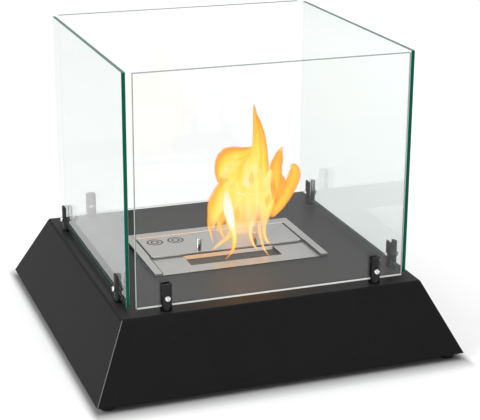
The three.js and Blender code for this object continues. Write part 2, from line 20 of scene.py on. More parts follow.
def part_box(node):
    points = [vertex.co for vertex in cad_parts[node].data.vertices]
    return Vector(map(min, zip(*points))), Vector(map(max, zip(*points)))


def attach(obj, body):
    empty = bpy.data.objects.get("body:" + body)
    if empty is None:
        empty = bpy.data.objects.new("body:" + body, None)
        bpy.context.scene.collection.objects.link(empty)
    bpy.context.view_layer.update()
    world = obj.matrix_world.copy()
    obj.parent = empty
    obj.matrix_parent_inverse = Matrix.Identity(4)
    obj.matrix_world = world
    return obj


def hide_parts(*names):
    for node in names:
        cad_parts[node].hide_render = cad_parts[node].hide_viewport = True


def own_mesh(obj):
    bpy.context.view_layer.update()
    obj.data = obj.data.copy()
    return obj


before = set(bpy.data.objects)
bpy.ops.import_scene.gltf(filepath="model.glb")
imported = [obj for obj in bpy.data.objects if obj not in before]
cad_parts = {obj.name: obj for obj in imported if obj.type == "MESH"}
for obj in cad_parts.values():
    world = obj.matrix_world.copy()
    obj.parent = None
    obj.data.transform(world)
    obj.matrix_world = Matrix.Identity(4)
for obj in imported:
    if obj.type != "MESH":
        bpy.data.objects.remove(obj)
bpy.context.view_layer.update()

LOG = logging.getLogger("fireplace")
MM = 0.001
UP = Vector((0, 0, 1))
SHARP_ANGLE = math.radians(30)
SHADING_ANGLE = math.radians(40)
FLAT_ANGLE = math.radians(1)
MERGE_DISTANCE = 0.01 * MM
ROUND_STEPS = 48
# The part of a normal along a direction that its face hardly meets, slants to, faces or faces squarely.
HARDLY = 0.1
SLANTS = 0.3
FACES = 0.5
SQUARELY = 0.9
# How a flame's heat falls off: a power of the way from a tongue's middle to its rim.
RIM_POWER = 2.6

Pair = tuple[float, float]
Colour = tuple[float, float, float]
Point = tuple[float, float, float]
Stops = Sequence[tuple[float, Colour]]


def grey(level: float) -> Colour:
    """Returns a neutral colour."""
    return (level, level, level)


def scaled(colour: Colour, share: float) -> Colour:
    """Returns a share of a colour."""
    return tuple(share * part for part in colour)


# ---- Shader graphs ----


class Sock:
    """An output of a shader node. Arithmetic on it adds Math nodes."""

    def __init__(self, graph: "Graph", socket: bpy.types.NodeSocket) -> None:
        """Wraps a socket.

        Args:
            graph: The graph that the socket belongs to.
            socket: The output socket.
        """
        self.graph = graph
        self.socket = socket

    def maths(self, operation: str, *values: "Sock | float") -> "Sock":
        """Adds a Math node.

        Args:
            operation: The node's operation.
            values: What its sockets get, in order.

        Returns:
            The node's output.
        """
        return self.graph.node("ShaderNodeMath", {"operation": operation}, dict(enumerate(values)))

    def __add__(self, other: "Sock | float") -> "Sock":
        """Returns self + other."""
        return self.maths("ADD", self, other)

    __radd__ = __add__

    def __mul__(self, other: "Sock | float") -> "Sock":
        """Returns self * other."""
        return self.maths("MULTIPLY", self, other)

    __rmul__ = __mul__

    def __sub__(self, other: "Sock | float") -> "Sock":
        """Returns self - other."""
        return self.maths("SUBTRACT", self, other)

    def __pow__(self, other: float) -> "Sock":
        """Returns self to the power of other."""
        return self.maths("POWER", self, other)

    def __abs__(self) -> "Sock":
        """Returns self without its sign."""
        return self.maths("ABSOLUTE", self)

    def step(self, low: float, high: float) -> "Sock":
        """Rises smoothly from 0 at low to 1 at high; low may be the larger.

        Args:
            low: Where the rise starts.
            high: Where it ends.

        Returns:
            The risen value.
        """
        first, last = min(low, high), max(low, high)
        ends = (0.0, 1.0) if low < high else (1.0, 0.0)
        return self.graph.node(
            "ShaderNodeMapRange",
            {"interpolation_type": "SMOOTHSTEP"},
            {0: self, 1: first, 2: last, 3: ends[0], 4: ends[1]},
        )


class Graph:
    """The nodes of one material or world."""

    def __init__(self, tree: bpy.types.NodeTree) -> None:
        """Empties a node tree.

        Args:
            tree: The tree to build in.
        """
        self.tree = tree
        tree.nodes.clear()

    def node(
        self,
        kind: str,
        settings: dict[str, object] | None = None,
        sockets: dict[int | str, object] | None = None,
        output: int | str = 0,
    ) -> Sock:
        """Adds a node.

        Args:
            kind: The node's type.
            settings: Its properties, set before its sockets; "stops" fills a colour ramp.
            sockets: Values or links of its inputs, by index or name.
            output: The output to return.

        Returns:
            That output, or the first input of a node that has no output.
        """
        made = self.tree.nodes.new(kind)
        for name, value in (settings or {}).items():
            if name == "stops":
                self._fill_ramp(made, value)
            else:
                setattr(made, name, value)
        for key, value in (sockets or {}).items():
            if isinstance(value, Sock):
                self.tree.links.new(value.socket, made.inputs[key])
            else:
                made.inputs[key].default_value = value
        return Sock(self, made.outputs[output] if made.outputs else made.inputs[0])

    @staticmethod
    def _fill_ramp(made: bpy.types.Node, stops: Stops) -> None:
        """Puts stops into a ramp node.

        Args:
            made: The ColorRamp node.
            stops: Places and colours, in order; the node's own two stops are used first.
        """
        elements = made.color_ramp.elements
        for index, (place, colour) in enumerate(stops):
            element = elements[index] if index < 2 else elements.new(place)
            element.position = place
            element.color = (*colour, 1.0)

    def ramp(self, value: Sock, stops: Stops) -> Sock:
        """Returns a colour ramp over a value."""
        return self.node("ShaderNodeValToRGB", {"stops": stops}, {0: value})

    def grey_ramp(self, value: Sock, levels: Sequence[Pair]) -> Sock:
        """Returns a ramp of greys over a value, from places and levels."""
        return self.ramp(value, [(place, grey(level)) for place, level in levels])

    def facing(self) -> Sock:
        """Returns 0 where a surface is seen straight on, rising to 1 at its outline."""
        return self.node("ShaderNodeLayerWeight", {}, {"Blend": 0.5}, "Facing")

    def attribute(self, name: str) -> Sock:
        """Returns the value of one of the mesh's attributes."""
        return self.node("ShaderNodeAttribute", {"attribute_name": name}, output="Fac")

    def transparent(self, colour: Colour = (1, 1, 1)) -> Sock:
        """Returns a shader that tints the light that goes straight through it."""
        return self.node("ShaderNodeBsdfTransparent", {}, {"Color": (*colour, 1.0)})

    def mix(self, factor: Sock | float, first: object, second: object) -> Sock:
        """Blends two colours, each a socket or a triple.

        Args:
            factor: The share of the second.
            first: A colour.
            second: Another.

        Returns:
            The blend.
        """
        ends = [c if isinstance(c, Sock) else (*c, 1.0) for c in (first, second)]
        return self.node(
            "ShaderNodeMix", {"data_type": "RGBA"}, {0: factor, 6: ends[0], 7: ends[1]}, output=2
        )

    def vector(self, operation: str, *values: object, output: int | str = 0) -> Sock:
        """Adds a Vector Math node; each value is a socket or a triple.

        Args:
            operation: The node's operation.
            values: What its sockets get, in order.
            output: The output to return.

        Returns:
            That output.
        """
        return self.node(
            "ShaderNodeVectorMath", {"operation": operation}, dict(enumerate(values)), output
        )

    def place(self, stretch: Point = (1, 1, 1), centre: Point = (0, 0, 0)) -> Sock:
        """Gives the object's own coordinates from a centre, stretched along each axis.

        Args:
            stretch: Factors along X, Y and Z.
            centre: The point that becomes zero.

        Returns:
            The coordinates.
        """
        coordinates = self.node("ShaderNodeTexCoord", output="Object")
        shift = tuple(-c * s for c, s in zip(centre, stretch))
        return self.node(
            "ShaderNodeMapping", {}, {"Vector": coordinates, "Location": shift, "Scale": stretch}
        )

    def noise(self, vector: Sock, scale: float, detail: float = 2.0, rough: float = 0.5) -> Sock:
        """Adds a grey noise.

        Args:
            vector: Where it is looked up.
            scale: Its fineness.
            detail: How many octaves it adds.
            rough: How strong the finer ones are.

        Returns:
            Its value, from 0 to 1.
        """
        return self.node(
            "ShaderNodeTexNoise",
            {},
            {"Vector": vector, "Scale": scale, "Detail": detail, "Roughness": rough},
        )

    def bump(self, height: Sock, distance: float, strength: float = 1.0) -> Sock:
        """Bumps the normal by a height.

        Args:
            height: The height.
            distance: How far a height of 1 stands out, in metres.
            strength: How much of the bump shows.

        Returns:
            The bumped normal.
        """
        return self.node(
            "ShaderNodeBump", {}, {"Height": height, "Distance": distance, "Strength": strength}
        )

    def principled(self, **sockets: object) -> Sock:
        """Adds a Principled shader; socket names are given with _ for a space.

        Args:
            sockets: Values or links of its inputs.

        Returns:
            The shader.
        """
        named = {}
        for name, value in sockets.items():
            words = name.replace("_", " ")
            named[words] = (*value, 1.0) if words == "Base Color" and isinstance(value, tuple) else value
        return self.node("ShaderNodeBsdfPrincipled", {}, named)

    def mix_shaders(self, factor: Sock | float, first: Sock, second: Sock) -> Sock:
        """Returns a blend of two shaders."""
        return self.node("ShaderNodeMixShader", {}, {0: factor, 1: first, 2: second})

    def show(self, shader: Sock, kind: str = "ShaderNodeOutputMaterial") -> None:
        """Links a shader to a new output node."""
        self.node(kind, {}, {"Surface": shader})


# ---- Finishes ----


class Grain(Enum):
    """The way in which a sheet was brushed: how tightly its lines lie along X, Y and Z, per metre."""

    ALONG_X = (9, 2400, 2400)
    ALONG_Y = (2400, 9, 2400)


@dataclass(frozen=True)
class Finish:
    """A surface that pieces wear."""

    name: str
    slot: str

    def paint(self, graph: Graph) -> Sock:
        """Returns the finish's shader, made in graph."""
        raise NotImplementedError

    def material(self) -> bpy.types.Material:
        """Makes the finish's material, once.

        Returns:
            The material.
        """
        made = bpy.data.materials.get(self.name)
        if made is None:
            made = bpy.data.materials.new(self.name)
            made.use_nodes = True
            graph = Graph(made.node_tree)
            graph.show(self.paint(graph))
        return made


@dataclass(frozen=True)
class PowderCoat(Finish):
    """A fine, satin powder coat on sheet steel."""

    slot: str = "black_powder_coat"
    tone: float = 0.0145
    gloss: float = 0.42
    specular: float = 0.035
    cloud_scale: float = 9.0
    cloud_tones: Pair = (0.82, 1.2)
    grain_scale: float = 1100.0
    grain_height: float = 0.006 * MM
    dust_scale: float = 260.0
    dust_range: Pair = (0.66, 0.78)
    dust_share: float = 0.35
    dust_tone: float = 2.4

    def paint(self, graph: Graph) -> Sock:
        """Paints near-black with a faint cloudiness, fine grain and uneven gloss.

        Args:
            graph: The graph to paint in.

        Returns:
            The shader.
        """
        place = graph.place()
        clouds = graph.noise(place, self.cloud_scale, detail=4, rough=0.6)
        grain = graph.noise(place, self.grain_scale, detail=3, rough=0.6)
        dust = graph.noise(place, self.dust_scale).step(*self.dust_range)
        base = graph.mix(clouds, *(grey(self.tone * share) for share in self.cloud_tones))
        return graph.principled(
            Base_Color=graph.mix(dust * self.dust_share, base, grey(self.tone * self.dust_tone)),
            Roughness=self.gloss + (clouds - 0.5) * 0.10 + (grain - 0.5) * 0.06,
            Specular_IOR_Level=self.specular,
            Normal=graph.bump(grain, self.grain_height, 0.5),
        )


@dataclass(frozen=True)
class BrushedSteel(Finish):
    """Stainless sheet with brush lines; rings, if any, are etched round (x, y) places."""

    slot: str = "brushed_stainless"
    grain: Grain = Grain.ALONG_X
    tint: Colour = (0.66, 0.652, 0.64)
    gloss: float = 0.36
    line_tones: Pair = (0.96, 1.03)
    line_height: float = 0.001 * MM
    broadening: float = 9.0
    cloud_scale: float = 16.0
    rings: tuple[Pair, ...] = ()
    ring_radii: tuple[float, ...] = (10.4 * MM, 5.0 * MM)
    ring_line: float = 1.9 * MM
    ring_core: float = 0.45
    ring_tone: float = 0.035
    ring_cover: float = 0.9
    ring_depth: float = 3.0

    def paint(self, graph: Graph) -> Sock:
        """Paints steel whose lines vary its tone, gloss and normal.

        Args:
            graph: The graph to paint in.

        Returns:
            The shader.
        """
        fine = graph.noise(graph.place(self.grain.value), 1, detail=3, rough=0.65)
        broad = graph.noise(graph.place(tuple(s / self.broadening for s in self.grain.value)), 1)
        cloud = graph.noise(graph.place(), self.cloud_scale, detail=3, rough=0.6)
        lines = fine * 0.7 + broad * 0.3
        colour = graph.mix(lines, *(scaled(self.tint, share) for share in self.line_tones))
        rough = self.gloss + (lines - 0.5) * 0.06 + (cloud - 0.5) * 0.05
        height = lines
        if self.rings:
            etched = self._rings(graph)
            colour = graph.mix(etched * self.ring_cover, colour, grey(self.ring_tone))
            rough = rough + etched * 0.25
            height = lines - etched * self.ring_depth
        return graph.principled(
            Base_Color=colour,
            Metallic=1.0,
            Roughness=rough,
            Normal=graph.bump(height, self.line_height, 0.35),
        )

    def _rings(self, graph: Graph) -> Sock:
        """Masks every ring's line with 1.

        Args:
            graph: The graph to paint in.

        Returns:
            The mask.
        """
        lines = []
        for x, y in self.rings:
            spot = graph.place((1, 1, 0), (x, y, 0))
            away = graph.vector("LENGTH", spot, output="Value")
            for radius in self.ring_radii:
                lines.append(abs(away - radius).step(self.ring_line, self.ring_line * self.ring_core))
        return sum(lines[1:], lines[0])


@dataclass(frozen=True)
class Chrome(Finish):
    """Polished plating with faint polishing marks."""

    slot: str = "polished_chrome"
    tint: Colour = (0.80, 0.80, 0.81)
    gloss: float = 0.07
    haze_scale: float = 420.0
    haze_tone: float = 0.93
    haze_height: float = 0.01 * MM

    def paint(self, graph: Graph) -> Sock:
        """Paints a near-mirror with a slight haze.

        Args:
            graph: The graph to paint in.

        Returns:
            The shader.
        """
        haze = graph.noise(graph.place(), self.haze_scale, detail=3, rough=0.6)
        return graph.principled(
            Base_Color=graph.mix(haze, scaled(self.tint, self.haze_tone), self.tint),
            Metallic=1.0,
            Roughness=self.gloss + haze * 0.06,
            Normal=graph.bump(haze, self.haze_height, 0.3),
        )


@dataclass(frozen=True)
class Rubber(Finish):
    """Moulded black rubber."""

    slot: str = "foot_rubber"
    tone: float = 0.014
    gloss: float = 0.68
    grain_scale: float = 900.0
    grain_tones: Pair = (0.7, 1.4)
    grain_height: float = 0.08 * MM

    def paint(self, graph: Graph) -> Sock:
        """Paints a matt black with a fine moulded grain.

        Args:
            graph: The graph to paint in.

        Returns:
            The shader.
        """
        grain = graph.noise(graph.place(), self.grain_scale, detail=3, rough=0.6)
        return graph.principled(
            Base_Color=graph.mix(grain, *(grey(self.tone * share) for share in self.grain_tones)),
            Roughness=self.gloss + grain * 0.2,
            Specular_IOR_Level=0.35,
            Normal=graph.bump(grain, self.grain_height, 0.6),
        )


@dataclass(frozen=True)
class CeramicFibre(Finish):
    """Packed mineral fibre under the flame, darker in blotches."""

    slot: str = "ceramic_fibre"
    tone: Colour = (0.30, 0.28, 0.25)
    fibre_grain: Point = (300, 900, 900)
    fibre_tone: float = 0.6
    soot: Colour = (0.03, 0.028, 0.026)
    soot_scale: float = 30.0
    soot_range: Pair = (0.35, 0.7)
    fibre_height: float = 0.5 * MM

    def paint(self, graph: Graph) -> Sock:
        """Paints tangled fibres, darker in blotches.

        Args:
            graph: The graph to paint in.

        Returns:
            The shader.
        """
        fibres = graph.noise(graph.place(self.fibre_grain), 1, detail=5, rough=0.7)
        soot = graph.noise(graph.place(), self.soot_scale, detail=4, rough=0.6).step(*self.soot_range)
        clean = graph.mix(fibres, scaled(self.tone, self.fibre_tone), self.tone)
        return graph.principled(
            Base_Color=graph.mix(soot * 0.8, clean, self.soot),
            Roughness=0.95,
            Normal=graph.bump(fibres, self.fibre_height, 0.9),
        )


@dataclass(frozen=True)
class ClearGlass(Finish):
    """The broad faces of a pane: clear, with a mirror that grows towards a glancing view."""

    slot: str = "clear_glass"
    tint: Colour = (0.990, 0.994, 0.992)
    slanting_tint: Colour = (0.920, 0.943, 0.936)
    slant_range: Pair = (0.15, 0.65)
    straight_on: float = 0.03
    steepness: float = 5.0

    def paint(self, graph: Graph) -> Sock:
        """Paints a film, greener on a slanting view, mixed with a mirror by the Schlick curve.

        Args:
            graph: The graph to paint in.

        Returns:
            The shader.
        """
        facing = graph.facing()
        shine = facing**self.steepness * (1 - self.straight_on) + self.straight_on
        clear = graph.mix_shaders(
            facing.step(*self.slant_range),
            graph.transparent(self.tint),
            graph.transparent(self.slanting_tint),
        )
        mirror = graph.principled(Base_Color=grey(1.0), Metallic=1.0, Roughness=0.0)
        return graph.mix_shaders(shine, clear, mirror)


@dataclass(frozen=True)
class GlassEdge(Finish):
    """A ground and polished edge, in which light gathers from the whole pane."""

    slot: str = "clear_glass"
    deep: Colour = (0.001, 0.100, 0.060)
    pale: Colour = (0.002, 0.140, 0.086)
    slanting: Colour = (0.45, 0.49, 0.47)
    drift_grain: Point = (18, 18, 7)
    line_grain: Point = (30, 30, 1800)
    line_height: float = 0.01 * MM
    slant_range: Pair = (0.3, 0.62)
    gloss: float = 0.3
    specular: float = 0.04
    solid: float = 1.0

    def paint(self, graph: Graph) -> Sock:
        """Paints an edge whose deep colour pales on a slanting view, with fine grinding lines.

        Args:
            graph: The graph to paint in.

        Returns:
            The shader.
        """
        drift = graph.noise(graph.place(self.drift_grain), 1, detail=3)
        lines = graph.noise(graph.place(self.line_grain), 1)
        ground = {
            "Roughness": self.gloss + lines * 0.12,
            "Specular_IOR_Level": self.specular,
            "Normal": graph.bump(lines, self.line_height, 0.4),
        }
        straight = graph.principled(Base_Color=graph.mix(drift, self.deep, self.pale), **ground)
        aslant = graph.principled(Base_Color=self.slanting, **ground)
        edge = graph.mix_shaders(graph.facing().step(*self.slant_range), straight, aslant)
        if self.solid == 1.0:
            return edge
        return graph.mix_shaders(self.solid, graph.transparent(), edge)


@dataclass(frozen=True)
class FlameGlow(Finish):
    """Glowing gas: bright and yellow in the heart of a tongue, orange and thin at its rim."""

    slot: str = "flame"
    strength: float = 1.65
    streak_grain: Point = (120, 60, 14)
    rim_cooling: float = 0.62
    rim_range: Pair = (1.03, 0.55)
    most_solid: float = 0.97
    colours: Stops = (
        (0.0, (0.60, 0.165, 0.009)),
        (0.26, (0.85, 0.265, 0.014)),
        (0.46, (1.0, 0.370, 0.018)),
        (0.66, (1.0, 0.480, 0.045)),
        (0.85, (1.0, 0.550, 0.150)),
        (1.0, (1.0, 0.620, 0.540)),
    )

    def paint(self, graph: Graph) -> Sock:
        """Paints light whose colour and thinness follow the tongue's own attributes.

        Args:
            graph: The graph to paint in.

        Returns:
            The shader.
        """
        across = graph.attribute("tongue_across")
        streaks = graph.noise(graph.place(self.streak_grain), 1, detail=3, rough=0.55) - 0.5
        cooling = across**RIM_POWER * self.rim_cooling
        warmth = graph.attribute("tongue_heat") - cooling + streaks * 0.5
        colour = graph.ramp(warmth, self.colours)
        rim = (across - streaks * 0.25).step(*self.rim_range)
        thickness = graph.attribute("tongue_body") * rim * (streaks * 0.5 + 1.0)
        solid = graph.node("ShaderNodeClamp", {}, {0: thickness, 1: 0.0, 2: self.most_solid})
        glow = graph.node("ShaderNodeEmission", {}, {"Color": colour, "Strength": self.strength})
        return graph.mix_shaders(solid, graph.transparent(), glow)


@dataclass(frozen=True)
class HeatTintAndPaintedFlameLight(Finish):
    """Steel beside the flame, straw-coloured on the left, part by its heat and part as a painted reflection
    of its light, and lit by it from above with a painted glow.
    """

    slot: str = "brushed_stainless"
    tint: Colour = (0.62, 0.60, 0.57)
    straw: Colour = (0.92, 0.56, 0.30)
    straw_ends: Pair = (35 * MM, -25 * MM)
    line_grain: Point = (60, 900, 900)
    line_height: float = 0.001 * MM
    gloss: float = 0.42
    # The strength of the painted glow of the flame's light.
    glow: float = 0.0

    def paint(self, graph: Graph) -> Sock:
        """Paints a half-bright steel whose tint fades along X.

        Args:
            graph: The graph to paint in.

        Returns:
            The shader.
        """
        x = graph.node("ShaderNodeSeparateXYZ", {}, {0: graph.place()}, output="X")
        lines = graph.noise(graph.place(self.line_grain), 1, detail=3, rough=0.6)
        near = x.step(*self.straw_ends) * (lines * 0.4 + 0.75)
        colour = graph.mix(near, self.tint, self.straw)
        return graph.principled(
            Base_Color=colour,
            Metallic=0.4,
            Roughness=self.gloss + lines * 0.1,
            # Where glow is set, the straw tint glows as painted flame light.
            Emission_Color=colour,
            Emission_Strength=self.glow,
            Normal=graph.bump(lines, self.line_height, 0.35),
        )


POWDER = PowderCoat("powder_black")
# The hood's top: a lighter, glossier copy of the powder coat, painted light.
TOP_POWDER_PAINTED_LIGHT = PowderCoat("powder_black_top_painted_light", tone=0.024, specular=0.12)
# The hood's chamfered seam ends: a much lighter copy of the powder coat, a painted highlight.
SEAM_PAINTED_HIGHLIGHT = PowderCoat("powder_seam_painted_highlight", tone=0.13, gloss=0.4, specular=0.3)
POST_BLACK = PowderCoat("post_black", "black_post", tone=0.004, gloss=0.26, specular=0.3)
STEEL = BrushedSteel("steel_brushed")
RAIL_STEEL = BrushedSteel("steel_brushed_lengthwise", grain=Grain.ALONG_Y)
# The grille down in the burner: steel darkened to grey, painted shade.
GRILLE_STEEL = BrushedSteel("steel_darkened_painted_shade", tint=(0.17, 0.165, 0.16), gloss=0.45)
# Near-black steel for edges, grooves, gaps and undersides: painted shadow.
SHADED_STEEL = BrushedSteel("steel_painted_shadow", tint=(0.07, 0.068, 0.066), gloss=0.5)
# A slightly darker, duller copy of the steel for the lid's front fold: painted shade.
FOLD_STEEL = BrushedSteel("steel_fold_painted_shade", tint=(0.60, 0.593, 0.58), gloss=0.45)
# The slot wall before the flame: straw tint and a painted glow of the flame's light.
SLOT_STEEL = HeatTintAndPaintedFlameLight("steel_slot_wall_painted_flame_light", glow=0.5)
# Edges facing the flame: straw tint, part heat tint and part painted reflection of the flame.
HEAT_TINT_AND_PAINTED_FLAME_STEEL = HeatTintAndPaintedFlameLight("steel_heat_tint_and_painted_flame_light")
CHROME = Chrome("chrome_polished")
ZINC = Chrome("zinc_plated", "zinc_plated_steel", tint=(0.52, 0.525, 0.52), gloss=0.28)
FOOT_RUBBER = Rubber("rubber_black")
FIBRE = CeramicFibre("ceramic_fibre")
GLASS_CLEAR = ClearGlass("glass_clear")
GLASS_END = GlassEdge("glass_end_green")
GLASS_BACK_END = GlassEdge("glass_back_end", solid=0.09)
GLASS_TOP_ALONG = GlassEdge(
    "glass_top_deep", deep=(0.11, 0.19, 0.155), pale=(0.17, 0.27, 0.225), slanting=(0.13, 0.22, 0.185)
)
GLASS_TOP_ACROSS = GlassEdge(
    "glass_top_pale", deep=(0.26, 0.30, 0.28), pale=(0.36, 0.41, 0.39), slanting=(0.30, 0.34, 0.32)
)
# The foot edge of the front and back panes: near-white, a painted highlight.
GLASS_FOOT_PAINTED_HIGHLIGHT = GlassEdge(
    "glass_foot_painted_highlight",
    deep=(0.80, 0.83, 0.81),
    pale=(0.88, 0.90, 0.88),
    slanting=(0.84, 0.865, 0.845),
    gloss=0.4,
)
# The foot edge of the side panes: near-black, painted shade.
GLASS_FOOT_PAINTED_SHADE = GlassEdge(
    "glass_foot_painted_shade",
    deep=(0.003, 0.016, 0.011),
    pale=(0.006, 0.03, 0.021),
    slanting=(0.005, 0.022, 0.015),
)
FLAME = FlameGlow("flame_glow")


# ---- Mesh tools ----

EdgeTest = Callable[[BMEdge], bool]
Part = TypeVar("Part")


def is_sharp(edge: BMEdge) -> bool:
    """Returns whether two faces meet at an angle on an edge."""
    return len(edge.link_faces) == 2 and edge.calc_face_angle() > SHARP_ANGLE


def is_at_top(edge: BMEdge, top: float) -> bool:
    """Returns whether the whole of an edge is at a piece's top."""
    return all(vert.co.z > top - MERGE_DISTANCE for vert in edge.verts)


def picked(items: Iterable[object], kind: type[Part]) -> list[Part]:
    """Returns the items of one kind."""
    return [item for item in items if isinstance(item, kind)]


def soften(
    made: BMesh, width: float, segments: int = 2, wanted: EdgeTest = is_sharp
) -> list[BMFace]:
    """Rounds edges.

    Args:
        made: The mesh.
        width: How far the rounding reaches from each edge.
        segments: Steps across it.
        wanted: Which edges to round.

    Returns:
        The new faces.
    """
    rounded = bmesh.ops.bevel(
        made,
        geom=[edge for edge in made.edges if wanted(edge)],
        offset=width,
        offset_type="OFFSET",
        segments=segments,
        profile=0.5,
        affect="EDGES",
        clamp_overlap=True,
        material=-1,
    )
    return rounded["faces"]


def cut(made: BMesh, spot: Point, normal: Point) -> None:
    """Splits the faces that a plane crosses.

    Args:
        made: The mesh.
        spot: A point on the plane.
        normal: The plane's normal.
    """
    bmesh.ops.bisect_plane(
        made,
        geom=[*made.verts, *made.edges, *made.faces],
        dist=MERGE_DISTANCE,
        plane_co=spot,
        plane_no=normal,
    )


def copy_of(node: str) -> BMesh:
    """Copies a node's own shape as one merged mesh with whole flat faces.

    Args:
        node: The node.

    Returns:
        The mesh, all of its faces with material index 0.
    """
    made = bmesh.new()
    made.from_mesh(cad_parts[node].data)
    bmesh.ops.remove_doubles(made, verts=made.verts, dist=MERGE_DISTANCE)
    bmesh.ops.dissolve_limit(
        made, angle_limit=FLAT_ANGLE, verts=made.verts, edges=made.edges, delimit=set()
    )
    for face in made.faces:
        face.material_index = 0
    return made


def turned(profile: Iterable[Pair], steps: int = ROUND_STEPS) -> BMesh:
    """Spins a profile about Z.

    Args:
        profile: (radius, height) pairs from the lower end to the upper one.
        steps: Faces round the axis.

    Returns:
        A closed, outward-facing mesh, if the profile starts and ends on the axis or on itself.
    """
    made = bmesh.new()
    points = [made.verts.new((radius, 0, height)) for radius, height in profile]
    edges = [made.edges.new(pair) for pair in zip(points, points[1:])]
    bmesh.ops.spin(
        made,
        geom=[*points, *edges],
        cent=(0, 0, 0),
        axis=UP,
        angle=math.tau,
        steps=steps,
        use_merge=True,
    )
    bmesh.ops.remove_doubles(made, verts=made.verts, dist=MERGE_DISTANCE)
    bmesh.ops.recalc_face_normals(made, faces=made.faces)
    return made


def block(low: Point, high: Point) -> BMesh:
    """Makes a box between two corners.

    Args:
        low: Its lower corner.
        high: Its upper corner.

    Returns:
        The box.
    """
    made = bmesh.new()
    bmesh.ops.create_cube(made, size=1)
    size = Vector(high) - Vector(low)
    middle = (Vector(high) + Vector(low)) / 2
    bmesh.ops.scale(made, vec=size, verts=made.verts)
    bmesh.ops.translate(made, vec=middle, verts=made.verts)
    return made


def set_down(made: BMesh, place: Matrix) -> None:
    """Moves a whole mesh by a matrix."""
    bmesh.ops.transform(made, matrix=place, verts=made.verts)


def linked(name: str, data: bpy.types.ID) -> Object:
    """Makes an object of some data and links it into the scene.

    Args:
        name: The object's name.
        data: Its mesh, light or camera.

    Returns:
        The object.
    """
    made = bpy.data.objects.new(name, data)
    bpy.context.scene.collection.objects.link(made)
    return made


def publish(
    made: BMesh,
    name: str,
    body: str,
    finishes: Sequence[Finish],
    nodes: Sequence[str] = (),
    even: bool = True,
) -> Object:
    """Turns a mesh into a piece that rides on a body and stands for nodes.

    Args:
        made: The mesh; it is freed.
        name: The piece's name.
        body: The body that carries it.
        finishes: Its finishes, in the order of its material indices.
        nodes: The nodes that it replaces.
        even: Whether flat faces keep flat shading next to their rounded edges.

    Returns:
        The new object.
    """
    mesh = bpy.data.meshes.new(name)
    for face in made.faces:
        face.smooth = True
    made.to_mesh(mesh)
    made.free()
    if "custom_normal" in mesh.attributes:
        mesh.attributes.remove(mesh.attributes["custom_normal"])
    while mesh.uv_layers:
        mesh.uv_layers.remove(mesh.uv_layers[0])
    for finish in finishes:
        mesh.materials.append(finish.material())
    mesh.set_sharp_from_angle(angle=SHADING_ANGLE)
    piece = linked(name, mesh)
    if even:
        modifier = piece.modifiers.new("even_shading", "WEIGHTED_NORMAL")
        modifier.keep_sharp = True
    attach(piece, body)
    if nodes:
        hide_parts(*nodes)
    LOG.info("%s: %d faces on %s", name, len(mesh.polygons), body)
    return piece


def stand_in(made: BMesh, node: str, body: str, *finishes: Finish, even: bool = True) -> Object:
    """Publishes a mesh as the piece that replaces a node."""
    return publish(made, "fine_" + node, body, finishes, (node,), even)


def dress(node: str, body: str, finish: Finish, width: float, segments: int = 2) -> Object:
    """Gives a node's own shape rounded edges and a finish.

    Args:
        node: The node.
        body: The body that carries it.
        finish: What it wears.
        width: How far the rounding reaches from each edge.
        segments: Steps across the rounding.

    Returns:
        The piece that replaces it.
    """
    made = copy_of(node)
    soften(made, width, segments)
    return stand_in(made, node, body, finish)


# ---- Base ----


@dataclass
class BaseCasing:
    """Hood, side panels and floor tray of folded sheet steel."""

    body: str = "base"
    seam_width: float = 1.35 * MM
    edge_round: float = 0.6 * MM

    @staticmethod
    def _is_seam(edge: BMEdge) -> bool:
        """Tells the outer edges of the hood's slanting cut ends from the others.

        Args:
            edge: An edge of the hood.

        Returns:
            True on a seam.
        """
        if len(edge.link_faces) != 2:
            return False
        first, second = sorted((face.normal for face in edge.link_faces), key=lambda n: abs(n.x))
        return abs(first.x) < HARDLY and first.z > SLANTS and abs(second.x) > FACES

    def hood(self) -> Object:
        """Builds the front slope, top and back slope; their chamfered ends are made bright with a painted
        highlight, and the top is a lighter copy of the coat, painted light.

        Returns:
            The piece that replaces the node.
        """
        made = copy_of("hood")
        finishes = (POWDER, SEAM_PAINTED_HIGHLIGHT, TOP_POWDER_PAINTED_LIGHT)
        # The slanting chamfer faces wear the painted seam highlight.
        for face in soften(made, self.seam_width, segments=1, wanted=self._is_seam):
            slanting = abs(face.normal.x) > SLANTS and abs(face.normal.y) > SLANTS
            face.material_index = finishes.index(SEAM_PAINTED_HIGHLIGHT if slanting else POWDER)
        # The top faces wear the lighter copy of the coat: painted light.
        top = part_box("hood")[1].z
        for face in made.faces:
            if face.calc_center_median().z > top - MERGE_DISTANCE:
                face.material_index = finishes.index(TOP_POWDER_PAINTED_LIGHT)
        soften(made, self.edge_round)
        return stand_in(made, "hood", self.body, *finishes)

    def build(self) -> list[Object]:
        """Builds the casing.

        Returns:
            Its four pieces.
        """
        panels = [
            dress(node, self.body, POWDER, self.edge_round)
            for node in ("left_side_panel", "right_side_panel", "floor_tray")
        ]
        return [self.hood(), *panels]


